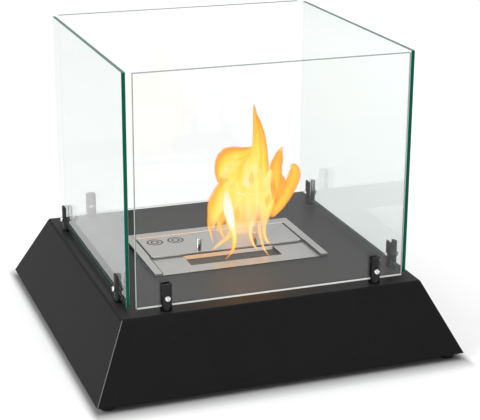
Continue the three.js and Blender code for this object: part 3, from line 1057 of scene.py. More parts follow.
@dataclass
class SocketScrew:
    """A button-head screw along Z with its thread end at zero and its head upwards."""

    shank_radius: float
    shank_length: float
    head_radius: float
    head_height: float
    socket_radius: float
    socket_depth: float
    rim_share: float = 0.25
    land_share: float = 1.3
    crown_steps: int = 5
    socket_sides: int = 6
    sides: int = 36

    def mesh(self) -> BMesh:
        """Makes the screw as one closed mesh.

        Returns:
            The mesh.
        """
        rim = self.rim_share * self.head_height
        land = self.socket_radius * self.land_share
        profile = [(0, 0), (self.shank_radius, 0), (self.shank_radius, self.shank_length)]
        profile.append((self.head_radius, self.shank_length))
        for step in range(self.crown_steps + 1):
            angle = math.pi / 2 * step / self.crown_steps
            radius = land + (self.head_radius - land) * math.cos(angle)
            height = rim + (self.head_height - rim) * math.sin(angle)
            profile.append((radius, self.shank_length + height))
        made = turned(profile, self.sides)
        top = self.shank_length + self.head_height
        rim_edges = [edge for edge in made.edges if edge.is_boundary]
        hexagon = bmesh.ops.create_circle(
            made,
            segments=self.socket_sides,
            radius=self.socket_radius,
            matrix=Matrix.Translation((0, 0, top)),
        )
        outline = list(dict.fromkeys(edge for vert in hexagon["verts"] for edge in vert.link_edges))
        split = bmesh.ops.subdivide_edges(made, edges=outline, cuts=self.sides // self.socket_sides - 1)
        hex_edges = picked(dict.fromkeys(split["geom_inner"] + split["geom_split"]), BMEdge)
        bmesh.ops.bridge_loops(made, edges=rim_edges + hex_edges)
        walls = bmesh.ops.extrude_edge_only(made, edges=hex_edges)["geom"]
        lowered = picked(walls, BMVert)
        bmesh.ops.translate(made, vec=(0, 0, -self.socket_depth), verts=lowered)
        floor = [edge for edge in picked(walls, BMEdge) if edge.is_boundary]
        bmesh.ops.holes_fill(made, edges=floor, sides=self.sides)
        bmesh.ops.recalc_face_normals(made, faces=made.faces)
        return made


@dataclass
class FootSet:
    """Four rubber feet and the screws that hold them."""

    body: str = "base"
    corners: tuple[str, ...] = ("front_left", "front_right", "back_left", "back_right")
    taper: float = 1.0 * MM
    taper_height: float = 2.0 * MM
    recess_radius: float = 5.0 * MM
    recess_height: float = 5.0 * MM
    hole_radius: float = 2.3 * MM
    edge_round: float = 0.3 * MM
    shank_radius: float = 2.0 * MM
    head_height: float = 2.4 * MM
    socket_radius: float = 1.45 * MM

    def foot(self, corner: str) -> Object:
        """Builds one foot, tapered towards the table.

        Args:
            corner: The corner that it stands under.

        Returns:
            The piece that replaces the node.
        """
        node = "foot_" + corner
        low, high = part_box(node)
        middle = (low + high) / 2
        radius = (high.x - low.x) / 2
        profile = [
            (self.hole_radius, self.recess_height),
            (self.recess_radius, self.recess_height),
            (self.recess_radius, low.z),
            (radius - self.taper, low.z),
            (radius, self.taper_height),
            (radius, high.z),
            (self.hole_radius, high.z),
            (self.hole_radius, self.recess_height),
        ]
        made = turned(profile)
        soften(made, self.edge_round)
        set_down(made, Matrix.Translation((middle.x, middle.y, 0)))
        return stand_in(made, node, self.body, FOOT_RUBBER)

    def screw(self, corner: str) -> Object:
        """Builds one screw, head down in its foot's recess.

        Args:
            corner: The corner of its foot.

        Returns:
            The piece that replaces the node.
        """
        node = "foot_screw_" + corner
        low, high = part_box(node)
        middle = (low + high) / 2
        made = SocketScrew(
            shank_radius=self.shank_radius,
            shank_length=high.z - low.z - self.head_height,
            head_radius=(high.x - low.x) / 2,
            head_height=self.head_height,
            socket_radius=self.socket_radius,
            socket_depth=0.5 * self.head_height,
        ).mesh()
        turn_over = Matrix.Rotation(math.pi, 4, "X")
        set_down(made, Matrix.Translation((middle.x, middle.y, high.z)) @ turn_over)
        return stand_in(made, node, self.body, ZINC)

    def build(self) -> list[Object]:
        """Builds the feet and their screws."""
        return [make(corner) for corner in self.corners for make in (self.foot, self.screw)]


# ---- Glass and posts ----


class Side(Enum):
    """A side of the glass box: its turn about Z in degrees and the ends of its pane."""

    FRONT = (0, ("left", "right"))
    RIGHT = (90, ("front", "back"))
    BACK = (180, ("right", "left"))
    LEFT = (270, ("back", "front"))

    @property
    def label(self) -> str:
        """The side's name in the model."""
        return self.name.lower()

    @property
    def turn(self) -> Matrix:
        """The turn that brings a front piece to this side."""
        return Matrix.Rotation(math.radians(self.value[0]), 4, "Z")

    @property
    def post_labels(self) -> tuple[str, ...]:
        """The names of the side's two posts."""
        return tuple(f"{self.label}_{end}" for end in self.value[1])


@dataclass
class GlassEnclosure:
    """Four clear panes with ground edges."""

    body: str = "base"
    arris: float = 0.5 * MM

    def pane(self, side: Side) -> Object:
        """Builds one pane; its ends, top and foot have finishes of their own, the front and back feet a
        painted highlight and the side feet painted shade.

        Args:
            side: The side that it stands on.

        Returns:
            The piece that replaces the node.
        """
        node = "glass_pane_" + side.label
        made = block(*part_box(node))
        soften(made, self.arris, segments=1)
        across = side in (Side.FRONT, Side.BACK)
        # Front and back feet wear a painted highlight, side feet painted shade.
        foot = GLASS_FOOT_PAINTED_HIGHLIGHT if across else GLASS_FOOT_PAINTED_SHADE
        top = GLASS_TOP_ACROSS if across else GLASS_TOP_ALONG
        finishes = (GLASS_CLEAR, GLASS_END, top, foot, GLASS_BACK_END)
        facing = side.turn @ Vector((0, 1, 0))
        for face in made.faces:
            normal = face.normal
            lower_arris = -SQUARELY < normal.z < -FACES
            if abs(normal.dot(facing)) > SQUARELY:
                worn = GLASS_CLEAR
            elif normal.z > FACES or (lower_arris and not across):
                worn = top
            elif normal.z < -FACES:
                worn = foot
            elif normal.y > FACES or side is Side.BACK:
                worn = GLASS_BACK_END
            else:
                worn = GLASS_END
            face.material_index = finishes.index(worn)
        return stand_in(made, node, self.body, *finishes, even=False)

    def build(self) -> list[Object]:
        """Builds the four panes."""
        return [self.pane(side) for side in Side]


@dataclass
class PostSet:
    """Eight slotted posts, each with two clamp screws and a nut."""

    body: str = "base"
    slot_half: float = 3.0 * MM
    slot_floor: float = 5.7 * MM
    foot_gap: float = 0.3 * MM
    rim: float = 0.5 * MM
    nut_round: float = 0.3 * MM
    stud_radius: float = 2.5 * MM
    screw_shank: float = 2.0 * MM
    screw_head_radius: float = 3.8 * MM
    screw_head_height: float = 2.2 * MM
    screw_socket_radius: float = 1.45 * MM
    screw_socket_depth: float = 1.2 * MM

    def post(self, label: str, side: Side) -> Object:
        """Builds one post: a stud, a round foot and two jaws either side of the glass.

        Args:
            label: The post's place.
            side: The side of its pane.

        Returns:
            The piece that replaces the node.
        """
        node = "post_" + label
        low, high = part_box(node)
        middle = (low + high) / 2
        top_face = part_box("hood")[1].z
        radius = (high.x - low.x) / 2
        foot_bottom = top_face + self.foot_gap
        floor = top_face + self.slot_floor
        profile = [
            (0, low.z),
            (self.stud_radius, low.z),
            (self.stud_radius, foot_bottom),
            (radius, foot_bottom),
            (radius, floor),
            (0, floor),
        ]
        made = turned(profile)
        cap = [face for face in made.faces if face.calc_center_median().z > floor - MERGE_DISTANCE]
        bmesh.ops.dissolve_faces(made, faces=cap)
        for place in (-self.slot_half, self.slot_half):
            cut(made, (0, place, 0), (0, 1, 0))
        jaws = [
            face
            for face in made.faces
            if face.normal.z > SQUARELY
            and face.calc_center_median().z > floor - MERGE_DISTANCE
            and abs(face.calc_center_median().y) > self.slot_half
        ]
        raised = bmesh.ops.extrude_face_region(made, geom=jaws)["geom"]
        bmesh.ops.delete(made, geom=jaws, context="FACES_ONLY")
        tops = picked(raised, BMVert)
        bmesh.ops.translate(made, vec=(0, 0, high.z - floor), verts=tops)
        bmesh.ops.recalc_face_normals(made, faces=made.faces)
        soften(made, self.rim)
        set_down(made, Matrix.Translation((middle.x, middle.y, 0)) @ side.turn)
        return stand_in(made, node, self.body, POST_BLACK)

    def clamp_screw(self, node: str, side: Side, outward: bool) -> Object:
        """Builds one clamp screw, its tip just clear of the glass.

        Args:
            node: The screw's node.
            side: The side of its pane.
            outward: Whether its head is outside the glass.

        Returns:
            The piece that replaces the node.
        """
        low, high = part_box(node)
        length = high.x - low.x if side in (Side.LEFT, Side.RIGHT) else high.y - low.y
        made = SocketScrew(
            shank_radius=self.screw_shank,
            shank_length=length - self.screw_head_height,
            head_radius=self.screw_head_radius,
            head_height=self.screw_head_height,
            socket_radius=self.screw_socket_radius,
            socket_depth=self.screw_socket_depth,
        ).mesh()
        centre_it = Matrix.Translation((0, 0, -length / 2))
        lay_down = Matrix.Rotation(math.radians(90 if outward else -90), 4, "X")
        place = Matrix.Translation((low + high) / 2)
        set_down(made, place @ side.turn @ lay_down @ centre_it)
        return stand_in(made, node, self.body, CHROME)

    def build(self) -> list[Object]:
        """Builds the posts, their screws and their nuts.

        Returns:
            The pieces, post by post.
        """
        made = []
        for side in Side:
            for label in side.post_labels:
                made.append(self.post(label, side))
                made.append(self.clamp_screw("outer_clamp_screw_" + label, side, True))
                made.append(self.clamp_screw("inner_clamp_screw_" + label, side, False))
                made.append(dress("post_nut_" + label, self.body, ZINC, self.nut_round))
        return made


# ---- Burner ----


@dataclass
class BurnerUnit:
    """The drop-in burner: tank, fibre, grille, top plate, rails and rear strip."""

    body: str = "burner"
    tank_corner: float = 4.0 * MM
    tank_round: float = 0.3 * MM
    shortest_upright: float = 10 * MM
    hole_pitch: float = 4.0 * MM
    hole_margin: float = 0.75 * MM
    edge_reach: float = 1.3 * MM
    edge_round: float = 0.22 * MM
    rail_shadow_line: float = 1.2 * MM
    strip_chamfer: float = 0.9 * MM
    wool_ripples: Point = (310, 270, 40)
    wool_height: float = 0.5 * MM
    wool_cuts: int = 20

    def tank(self) -> Object:
        """Builds the tank with rounded upright corners.

        Returns:
            The piece that replaces the node.
        """
        made = copy_of("burner_tank")
        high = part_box("burner_tank")[1]

        def is_upright(edge: BMEdge) -> bool:
            """Tells the outer upright corners from the other edges.

            Args:
                edge: An edge of the tank.

            Returns:
                True on an outer upright.
            """
            first, second = (vert.co for vert in edge.verts)
            outer = all(abs(abs(first[axis]) - high[axis]) < MERGE_DISTANCE for axis in (0, 1))
            return outer and abs(first.z - second.z) > self.shortest_upright

        soften(made, self.tank_corner, segments=6, wanted=is_upright)
        soften(made, self.tank_round)
        return stand_in(made, "burner_tank", self.body, STEEL)

    def grille(self) -> Object:
        """Builds the perforated sheet.

        Returns:
            The piece that replaces the node.
        """
        low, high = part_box("flame_grille")
        size = high - low
        columns = round(size.x / self.hole_pitch)
        rows = round(size.y / self.hole_pitch)
        made = bmesh.new()
        bmesh.ops.create_grid(made, x_segments=columns, y_segments=rows, size=0.5)
        bmesh.ops.scale(made, vec=(size.x, size.y, 1), verts=made.verts)
        cells = [face for face in made.faces if not any(vert.is_boundary for vert in face.verts)]
        bmesh.ops.inset_individual(made, faces=cells, thickness=self.hole_margin)
        bmesh.ops.delete(made, geom=cells, context="FACES_ONLY")
        bmesh.ops.solidify(made, geom=made.faces[:], thickness=size.z)
        bmesh.ops.recalc_face_normals(made, faces=made.faces)
        box_low = min(vert.co.z for vert in made.verts)
        middle = (low + high) / 2
        set_down(made, Matrix.Translation((middle.x, middle.y, low.z - box_low)))
        return stand_in(made, "flame_grille", self.body, GRILLE_STEEL)

    def wool(self) -> Object:
        """Builds the fibre block with a slightly lumpy top.

        Returns:
            The piece that replaces the node.
        """
        low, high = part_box("ceramic_wool")
        made = block(low, high)
        bmesh.ops.subdivide_edges(made, edges=made.edges[:], cuts=self.wool_cuts, use_grid_fill=True)
        along, across, skew = self.wool_ripples
        for vert in made.verts:
            if vert.co.z > high.z - MERGE_DISTANCE:
                ripple = math.sin(along * vert.co.x) * math.sin(across * vert.co.y + skew * vert.co.x)
                vert.co.z -= self.wool_height * (1 + ripple)
        return stand_in(made, "ceramic_wool", self.body, FIBRE)

    def rail_finish(self, face: BMFace, inner_x: float, lid_front: float) -> Finish | None:
        """Says what a face in the line along a rail's inner edge wears.

        Args:
            face: The face.
            inner_x: Where the rail's inner edge is.
            lid_front: Where the open lid's front edge is.

        Returns:
            Painted shadow on top where the rail runs free, bright inside where the lid lies, or None
            elsewhere.
        """
        middle = face.calc_center_median()
        if abs(middle.x - inner_x) >= self.rail_shadow_line:
            return None
        # In front of the lid, the rail's inner top line wears painted shadow.
        if middle.y < lid_front:
            return SHADED_STEEL if face.normal.z > FACES else None
        return RAIL_STEEL if abs(face.normal.x) > FACES else None

    def sheet(self, node: str, finish: Finish) -> Object:
        """Builds a folded sheet whose outer cut edges are darkened with painted shadow.

        Args:
            node: The sheet's node.
            finish: What its broad faces wear.

        Returns:
            The piece that replaces the node.
        """
        made = copy_of(node)
        low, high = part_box(node)

        def faces_lid(edge: BMEdge) -> bool:
            """Returns whether an edge is the rear strip's upper front one."""
            at_front = all(vert.co.y < low.y + MERGE_DISTANCE for vert in edge.verts)
            return at_front and is_at_top(edge, high.z)

        if node == "rear_strip":
            soften(made, self.strip_chamfer, segments=1, wanted=faces_lid)
        rail = node.endswith("rail")
        inner_x = high.x if high.x < 0 else low.x
        lid_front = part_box("burner_lid")[0].y
        if rail:
            cut(made, (inner_x + math.copysign(self.rail_shadow_line, inner_x), 0, 0), (1, 0, 0))
            cut(made, (0, lid_front, 0), (0, 1, 0))
        # Faces towards the flame wear painted flame light: a glow on the plate's slot wall, a straw tint
        # that is part painted reflection on the rails and rear strip.
        inner = SLOT_STEEL if node == "burner_top_plate" else HEAT_TINT_AND_PAINTED_FLAME_STEEL
        finishes = (finish, SHADED_STEEL, inner)
        for face in made.faces:
            middle = face.calc_center_median()
            outside = min(middle.x - low.x, high.x - middle.x, middle.y - low.y, high.y - middle.y)
            upright = abs(face.normal.z) < FACES
            frontal = face.normal.y < -FACES
            slanting = face.normal.y < -SLANTS and face.normal.z > SLANTS
            worn = self.rail_finish(face, inner_x, lid_front) if rail else None
            if worn is None:
                if slanting or (frontal and outside > self.edge_reach and not rail):
                    worn = inner
                else:
                    # Upright faces, but for the rails' front ends, wear painted shadow.
                    worn = SHADED_STEEL if upright and not (rail and frontal) else finish
            face.material_index = finishes.index(worn)
        soften(made, self.edge_round)
        return stand_in(made, node, self.body, *finishes)

    def build(self) -> list[Object]:
        """Builds the burner.

        Returns:
            Its seven pieces.
        """
        return [
            self.tank(),
            self.grille(),
            self.wool(),
            self.sheet("burner_top_plate", STEEL),
            self.sheet("left_lid_rail", RAIL_STEEL),
            self.sheet("right_lid_rail", RAIL_STEEL),
            self.sheet("rear_strip", STEEL),
        ]


@dataclass
class SlidingLid:
    """The lid that covers the flame opening, with two knobs and their screws."""

    body: str = "lid"
    front_round: float = 0.7 * MM
    fold_shadow_foot: float = 0.7 * MM
    back_chamfer: float = 1.0 * MM
    edge_round: float = 0.2 * MM
    screw_round: float = 0.15 * MM
    roll_start: float = 0.2
    tongue_drop: float = 0.5 * MM
    side_tongue: float = 9 * MM
    hole_step: float = 1.5 * MM
    ring_from_left: float = 20.5 * MM
    ring_spacing: float = 30.5 * MM
    ring_from_back: float = 22.0 * MM
    knob_chamfer: float = 0.7 * MM
    knob_bore_radius: float = 1.8 * MM
    knob_bore_depth: float = 9.0 * MM
    sides: tuple[str, ...] = ("left", "right")

    def ring_places(self) -> tuple[Pair, ...]:
        """Places the middles of the two etched marks.

        Returns:
            An (x, y) place for each mark.
        """
        low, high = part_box("burner_lid")
        x = low.x + self.side_tongue + self.ring_from_left
        y = high.y - self.ring_from_back
        return ((x, y), (x + self.ring_spacing, y))

    def lid(self) -> Object:
        """Builds the lid with its rolled front edge and etched rings; its fold's foot, back chamfer and
        tongues wear painted shadow, its front fold a slightly darker copy of the steel, painted shade.

        Returns:
            The piece that replaces the node.
        """
        made = copy_of("burner_lid")
        low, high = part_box("burner_lid")
        fold_ends = (low.z + self.fold_shadow_foot, high.z - self.front_round)
        for level in fold_ends:
            cut(made, (0, 0, level), UP)

        def is_back(edge: BMEdge) -> bool:
            """Returns whether an edge is the top's back one."""
            at_back = all(vert.co.y > high.y - MERGE_DISTANCE for vert in edge.verts)
            return at_back and is_at_top(edge, high.z)

        def is_rolled(edge: BMEdge) -> bool:
            """Returns whether an edge is on the outer rim of the raised top, but not at its back."""
            return is_at_top(edge, high.z) and edge.calc_length() >= self.hole_step and is_sharp(edge)

        soften(made, self.back_chamfer, segments=1, wanted=is_back)
        top = BrushedSteel("steel_lid", rings=self.ring_places())
        finishes = (top, SHADED_STEEL, FOLD_STEEL)
        # The fold's foot, the back chamfer and the tongues below the top wear painted shadow; the front
        # fold wears the darker copy of the steel, painted shade.
        for face in made.faces:
            height = face.calc_center_median().z
            folded = face.normal.y < -SQUARELY and fold_ends[0] < height < fold_ends[1]
            slanting = face.normal.y > SLANTS and face.normal.z > SLANTS
            below = height < high.z - self.tongue_drop
            worn = FOLD_STEEL if folded else SHADED_STEEL if slanting or below else top
            face.material_index = finishes.index(worn)
        soften(made, self.front_round, segments=4, wanted=is_rolled)
        # The front-facing part of the rolled edge also wears the darker fold steel: painted shade.
        for face in made.faces:
            if face.normal.y < -SLANTS and self.roll_start < face.normal.z < SQUARELY:
                face.material_index = finishes.index(FOLD_STEEL)
        soften(made, self.edge_round)
        return stand_in(made, "burner_lid", self.body, *finishes)

    def knob(self, side: str) -> Object:
        """Builds one turned knob.

        Args:
            side: Left or right.

        Returns:
            The piece that replaces the node.
        """
        node = "lid_knob_" + side
        low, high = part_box(node)
        middle = (low + high) / 2
        radius = (high.x - low.x) / 2
        profile = [
            (0, low.z + self.knob_bore_depth),
            (self.knob_bore_radius, low.z + self.knob_bore_depth),
            (self.knob_bore_radius, low.z),
            (radius, low.z),
            (radius, high.z),
            (0, high.z),
        ]
        made = turned(profile)

        def is_top_rim(edge: BMEdge) -> bool:
            """Returns whether an edge is the knob's upper rim."""
            return is_sharp(edge) and is_at_top(edge, high.z)

        soften(made, self.knob_chamfer, segments=3, wanted=is_top_rim)
        set_down(made, Matrix.Translation((middle.x, middle.y, 0)))
        return stand_in(made, node, self.body, CHROME)

    def build(self) -> list[Object]:
        """Builds the lid, knobs and knob screws.

        Returns:
            Its five pieces.
        """
        knobs = [self.knob(side) for side in self.sides]
        screws = [dress("knob_screw_" + side, self.body, ZINC, self.screw_round) for side in self.sides]
        return [self.lid(), *knobs, *screws]


# ---- Flame ----


@dataclass(frozen=True)
class Tongue:
    """One tongue of flame: (x, z, half width) in millimetres from its foot to its tip."""

    name: str
    line: tuple[tuple[float, float, float], ...]
    heat: float
    tip_heat: float
    body: float
    lean: float = 0.0
    y_foot: float = 0.0
    y_tip: float = 0.0
    depth_share: float = 0.42
    fade_foot: float = 0.25
    fade_tip: float = 0.3
    edge_heat: float = 0.0


@dataclass(frozen=True)
class Ember(Tongue):
    """A darker streak close in front of the flame's body."""

    y_foot: float = -18.0
    y_tip: float = -18.0
    fade_foot: float = 0.4
    fade_tip: float = 0.4


FLAME_TONGUES = (
    Tongue("tall", (
        (16, 203, 13), (21, 219, 15), (27, 234, 12), (31, 249, 8.8), (32, 264, 7), (32, 279, 5.6),
        (31, 294, 4), (30, 307, 2.4), (29, 317, 0.3)),
        heat=1.02, tip_heat=0.2, body=1.15, lean=-0.1, y_foot=-9, fade_tip=0.12, edge_heat=0.2),
    Tongue("tall_rim", (
        (50, 206, 6), (47, 220, 7), (46, 234, 7), (44, 251, 7), (41, 268, 7), (38, 281, 6), (35, 293, 4),
        (32, 304, 1.2)),
        heat=0.7, tip_heat=0.3, body=1.1, lean=-0.25, y_foot=3, y_tip=3, fade_foot=0.1, fade_tip=0.15),
    Tongue("lobe_fill", (
        (-4, 200, 9), (-3, 214, 13), (3, 226, 14), (10, 236, 12), (18, 244, 10), (24, 250, 6),
        (28, 257, 1.5)),
        heat=0.75, tip_heat=0.35, body=1.1, y_foot=1, y_tip=1, fade_foot=0.1, edge_heat=0.35),
    Tongue("left_lobe", (
        (-10, 204, 6), (-16, 217, 9.5), (-17, 229, 11.5), (-14, 239, 13.5), (-8, 246, 14), (2, 249, 11.5),
        (12, 250, 8.5), (21, 253, 5), (27, 257, 1)),
        heat=0.75, tip_heat=0.5, body=1.1, lean=0.3, y_foot=-3, y_tip=-3, fade_foot=0.1, fade_tip=0.15),
    Tongue("lobe_heart", (
        (-13, 212, 3), (-15, 221, 8), (-12, 229, 11), (-5, 236, 10), (3, 238, 6), (9, 240, 2)),
        heat=0.85, tip_heat=0.75, body=0.6, y_foot=-9, y_tip=-12, fade_foot=0.1, edge_heat=0.55),
    Tongue("right_lobe", (
        (59, 180, 7), (62, 195, 9.8), (64, 210, 10.5), (65, 222, 10.1), (68, 232, 8.4), (70, 240, 5.6),
        (73, 246, 3), (76, 250, 0.7)),
        heat=0.5, tip_heat=0.3, body=1.05, lean=-0.1, y_foot=5, y_tip=8, fade_foot=0.1),
    Tongue("right_fill", (
        (68, 163, 3.5), (70, 173, 8.8), (72, 184, 11.6), (72, 194, 10.9), (71, 203, 8.1), (69, 212, 3.8)),
        heat=0.25, tip_heat=0.3, body=0.95, y_foot=7, y_tip=7, fade_foot=0.3, fade_tip=0.1),
    Tongue("right_arm", (
        (57, 151, 3.5), (67, 164, 7.7), (76, 176, 9.5), (85, 189, 10.2), (90, 200, 10.6), (93, 211, 9.5),
        (92, 218, 6.7), (87, 221, 2.5)),
        heat=0.42, tip_heat=0.5, body=1.05, lean=-0.12, y_foot=2, y_tip=9, fade_foot=0.12, fade_tip=0.1),
    Tongue("body_left", (
        (-31, 146, 3), (-30, 158, 7.5), (-27, 171, 12), (-22, 182, 15.4), (-16, 193, 16), (-11, 203, 13),
        (-7, 213, 10), (0, 222, 8.5), (7, 230, 6.1)),
        heat=0.8, tip_heat=0.75, body=1.1, lean=0.25, y_foot=-4, fade_foot=0.3, fade_tip=0.1),
    Tongue("body_middle", (
        (10, 134, 14), (12, 150, 26), (14, 165, 32), (15, 179, 34), (18, 192, 33), (22, 205, 28),
        (24, 216, 22), (27, 228, 13.7)),
        heat=0.85, tip_heat=0.7, body=1.05, y_foot=1, fade_foot=0.55, fade_tip=0.1, edge_heat=0.5),
    Tongue("body_right", (
        (47, 140, 4), (48, 151, 8), (50, 166, 11.5), (51, 179, 12.5), (52, 193, 12), (52, 205, 10),
        (53, 215, 6), (54, 222, 1)),
        heat=0.85, tip_heat=0.85, body=1.1, lean=-0.2, y_foot=4, fade_foot=0.35, fade_tip=0.1,
        edge_heat=0.4),
    Tongue("bowl_lip", (
        (-10, 207, 0.7), (-3, 200, 1.7), (6, 196, 2.2), (18, 194, 2.4), (30, 195, 2.4), (41, 199, 2.2),
        (47, 207, 1.6), (51, 216, 0.5)),
        heat=0.92, tip_heat=0.85, body=0.55, y_foot=-18, y_tip=-18),
    Ember("middle_ember", ((20, 205, 1.4), (20, 216, 4.2), (20, 228, 1)), heat=0.5, tip_heat=0.5, body=0.4),
    Ember("right_ember", ((51, 183, 1.6), (52, 195, 4), (51, 207, 3.8), (49, 222, 1)),
        heat=0.15, tip_heat=0.25, body=0.7, fade_tip=0.35),
    Ember("lower_ember", ((43, 172, 1.2), (44, 183, 4.2), (46, 193, 1.6)),
        heat=0.35, tip_heat=0.35, body=0.4),
    Ember("left_ember", ((1, 158, 1.6), (0, 169, 4), (0, 179, 1.4)), heat=0.4, tip_heat=0.45, body=0.45),
    Ember("lobe_ember", ((-19, 210, 2), (-16, 218, 6), (-11, 226, 2.4)),
        heat=0.35, tip_heat=0.45, body=0.75, y_foot=-10, y_tip=-10),
    Tongue("core", (
        (-16, 103, 0.9), (-8, 111, 2.1), (-4, 120, 2.9), (-3, 132, 3.8), (-6, 148, 5.5), (-9, 162, 7.1),
        (-12, 176, 7.8), (-14, 190, 6.4), (-16, 202, 2.4)),
        heat=0.25, tip_heat=1.75, body=1.1, y_foot=-14, y_tip=-16, depth_share=0.3, fade_foot=0.4,
        fade_tip=0.35),
    Tongue("left_leg", ((-28, 108, 0.8), (-23, 116, 2.3), (-15, 125, 3.2), (-9, 133, 3.8), (-7, 144, 3.6)),
        heat=0.75, tip_heat=0.8, body=0.42, y_foot=10, y_tip=-12),
    Tongue("left_strand", ((-13, 128, 0.8), (-17, 140, 2.2), (-21, 153, 3.2), (-24, 166, 4)),
        heat=0.8, tip_heat=0.85, body=0.36),
    Tongue("left_web", ((-22, 138, 2), (-19, 151, 6), (-16, 165, 9), (-14, 180, 9)),
        heat=0.6, tip_heat=0.7, body=0.5, fade_foot=0.5),
    Tongue("left_veil", ((-27, 120, 0.8), (-31, 136, 2), (-34, 150, 2.6), (-35, 165, 3)),
        heat=0.65, tip_heat=0.6, body=0.36, y_foot=4),
    Tongue("middle_leg", ((41, 103, 0.8), (32, 113, 2.2), (26, 128, 3), (24, 143, 3.6), (27, 158, 4.4)),
        heat=0.8, tip_heat=0.95, body=0.5, y_foot=8, y_tip=-10),
    Tongue("right_leg", ((52, 97, 0.8), (45, 108, 2), (41, 122, 2.7), (39, 136, 3.2), (40, 154, 4)),
        heat=0.7, tip_heat=0.95, body=0.4, y_foot=-4),
    Tongue("outer_leg", ((60, 108, 0.8), (53, 115, 2.3), (48, 126, 3), (47, 140, 3.6), (49, 156, 4.4)),
        heat=0.7, tip_heat=0.95, body=0.45, y_foot=9),
    Tongue("apron", ((11, 108, 22), (10, 122, 33), (9, 140, 40), (7, 160, 42)),
        heat=0.6, tip_heat=0.75, body=0.16, y_foot=3, depth_share=0.15, fade_foot=0.7, fade_tip=0.2),
)


@dataclass
class Flame:
    """The flame over the opening, a group of glowing tongues."""

    body: str = "burner"
    joint: str = "lid_slide"
    ring_points: int = 20
    rings: int = 40
    probe: float = 0.01
    thinnest: float = 0.15
    least_body: float = 0.12
    plate_drop: float = 3.4 * MM
    slot_gap: float = 0.5 * MM
    slot_half: float = 18.75 * MM
    snuffed: float = 0.008
    tongues: tuple[Tongue, ...] = FLAME_TONGUES

    @staticmethod
    def _along(line: Sequence[tuple[float, ...]], share: float) -> Vector:
        """Finds a point on a smooth line through points.

        Args:
            line: The points.
            share: How far along, from 0 to 1.

        Returns:
            The point.
        """
        spans = len(line) - 1
        at = min(share * spans, spans - 1e-6)
        index = int(at)
        t = at - index
        a, b, c, d = (Vector(line[min(max(index + k, 0), spans)]) for k in (-1, 0, 1, 2))
        square = 2 * a - 5 * b + 4 * c - d
        cube = 3 * b - a - 3 * c + d
        return 0.5 * (2 * b + (c - a) * t + square * t**2 + cube * t**3)

    def tongue(self, shape: Tongue, slot_y: float) -> BMesh:
        """Lofts one tongue.

        Args:
            shape: The tongue.
            slot_y: The middle of the opening.

        Returns:
            A closed mesh with the attributes that FlameGlow reads.
        """
        made = bmesh.new()
        across = made.verts.layers.float.new("tongue_across")
        heat = made.verts.layers.float.new("tongue_heat")
        body = made.verts.layers.float.new("tongue_body")
        bmesh.ops.create_circle(made, cap_ends=True, segments=self.ring_points, radius=1)
        ring = list(made.verts)
        edges = list(made.edges)
        unit = [vert.co.copy() for vert in ring]
        for index in range(self.rings + 1):
            share = index / self.rings
            if index:
                grown = bmesh.ops.extrude_edge_only(made, edges=edges)["geom"]
                edges = [edge for edge in picked(grown, BMEdge) if edge.is_boundary]
                above = {}
                for vert in picked(grown, BMVert):
                    above.update({edge.other_vert(vert): vert for edge in vert.link_edges})
                ring = [above[vert] for vert in ring]
            here = self._along(shape.line, share)
            after = self._along(shape.line, min(share + self.probe, 1))
            before = self._along(shape.line, max(share - self.probe, 0))
            ahead = after - before
            tangent = Vector((ahead.x, 0, ahead.y)).normalized()
            sideways = Vector((tangent.z, 0, -tangent.x))
            y = slot_y + MM * (shape.y_foot + (shape.y_tip - shape.y_foot) * share)
            centre = Vector((here.x * MM, y, here.y * MM))
            half = max(here.z, self.thinnest) * MM
            shown = min(1.0, share / shape.fade_foot) if shape.fade_foot else 1.0
            shown *= min(1.0, (1 - share) / shape.fade_tip) if shape.fade_tip else 1.0
            for vert, spot in zip(ring, unit):
                depth = Vector((0, 1, 0)) * spot.y * half * shape.depth_share
                vert.co = centre + sideways * spot.x * half + depth
                vert[across] = abs(spot.x)
                vert[heat] = shape.heat + (shape.tip_heat - shape.heat) * share + shape.lean * spot.x
                vert[heat] += shape.edge_heat * abs(spot.x) ** RIM_POWER
                vert[body] = shape.body * (self.least_body + (1 - self.least_body) * shown)
        bmesh.ops.holes_fill(made, edges=edges, sides=self.ring_points)
        bmesh.ops.recalc_face_normals(made, faces=made.faces)
        return made

    def build(self) -> list[Object]:
        """Builds every tongue.

        Returns:
            The tongues.
        """
        slot_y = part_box("burner_lid")[0].y - self.slot_gap - self.slot_half
        made = []
        for shape in self.tongues:
            lofted = self.tongue(shape, slot_y)
            piece = publish(lofted, "flame_" + shape.name, self.body, (FLAME,), even=False)
            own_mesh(piece)
            made.append(piece)
        return made


# ---- Studio ----


@dataclass(frozen=True)
class Softbox:
    """A square light of a size in metres and a power in watts."""

    name: str
    place: Point
    size: float
    power: float
    target: Point = (0, 0, 0.1)

    def hang(self) -> None:
        """Hangs the light where it faces its target."""
        light = bpy.data.lights.new(self.name, "AREA")
        light.shape = "SQUARE"
        light.size = self.size
        light.energy = self.power
        lamp = linked(self.name, light)
        lamp.location = self.place
        aim = Vector(self.target) - Vector(self.place)
        lamp.rotation_euler = aim.to_track_quat("-Z", "Y").to_euler()


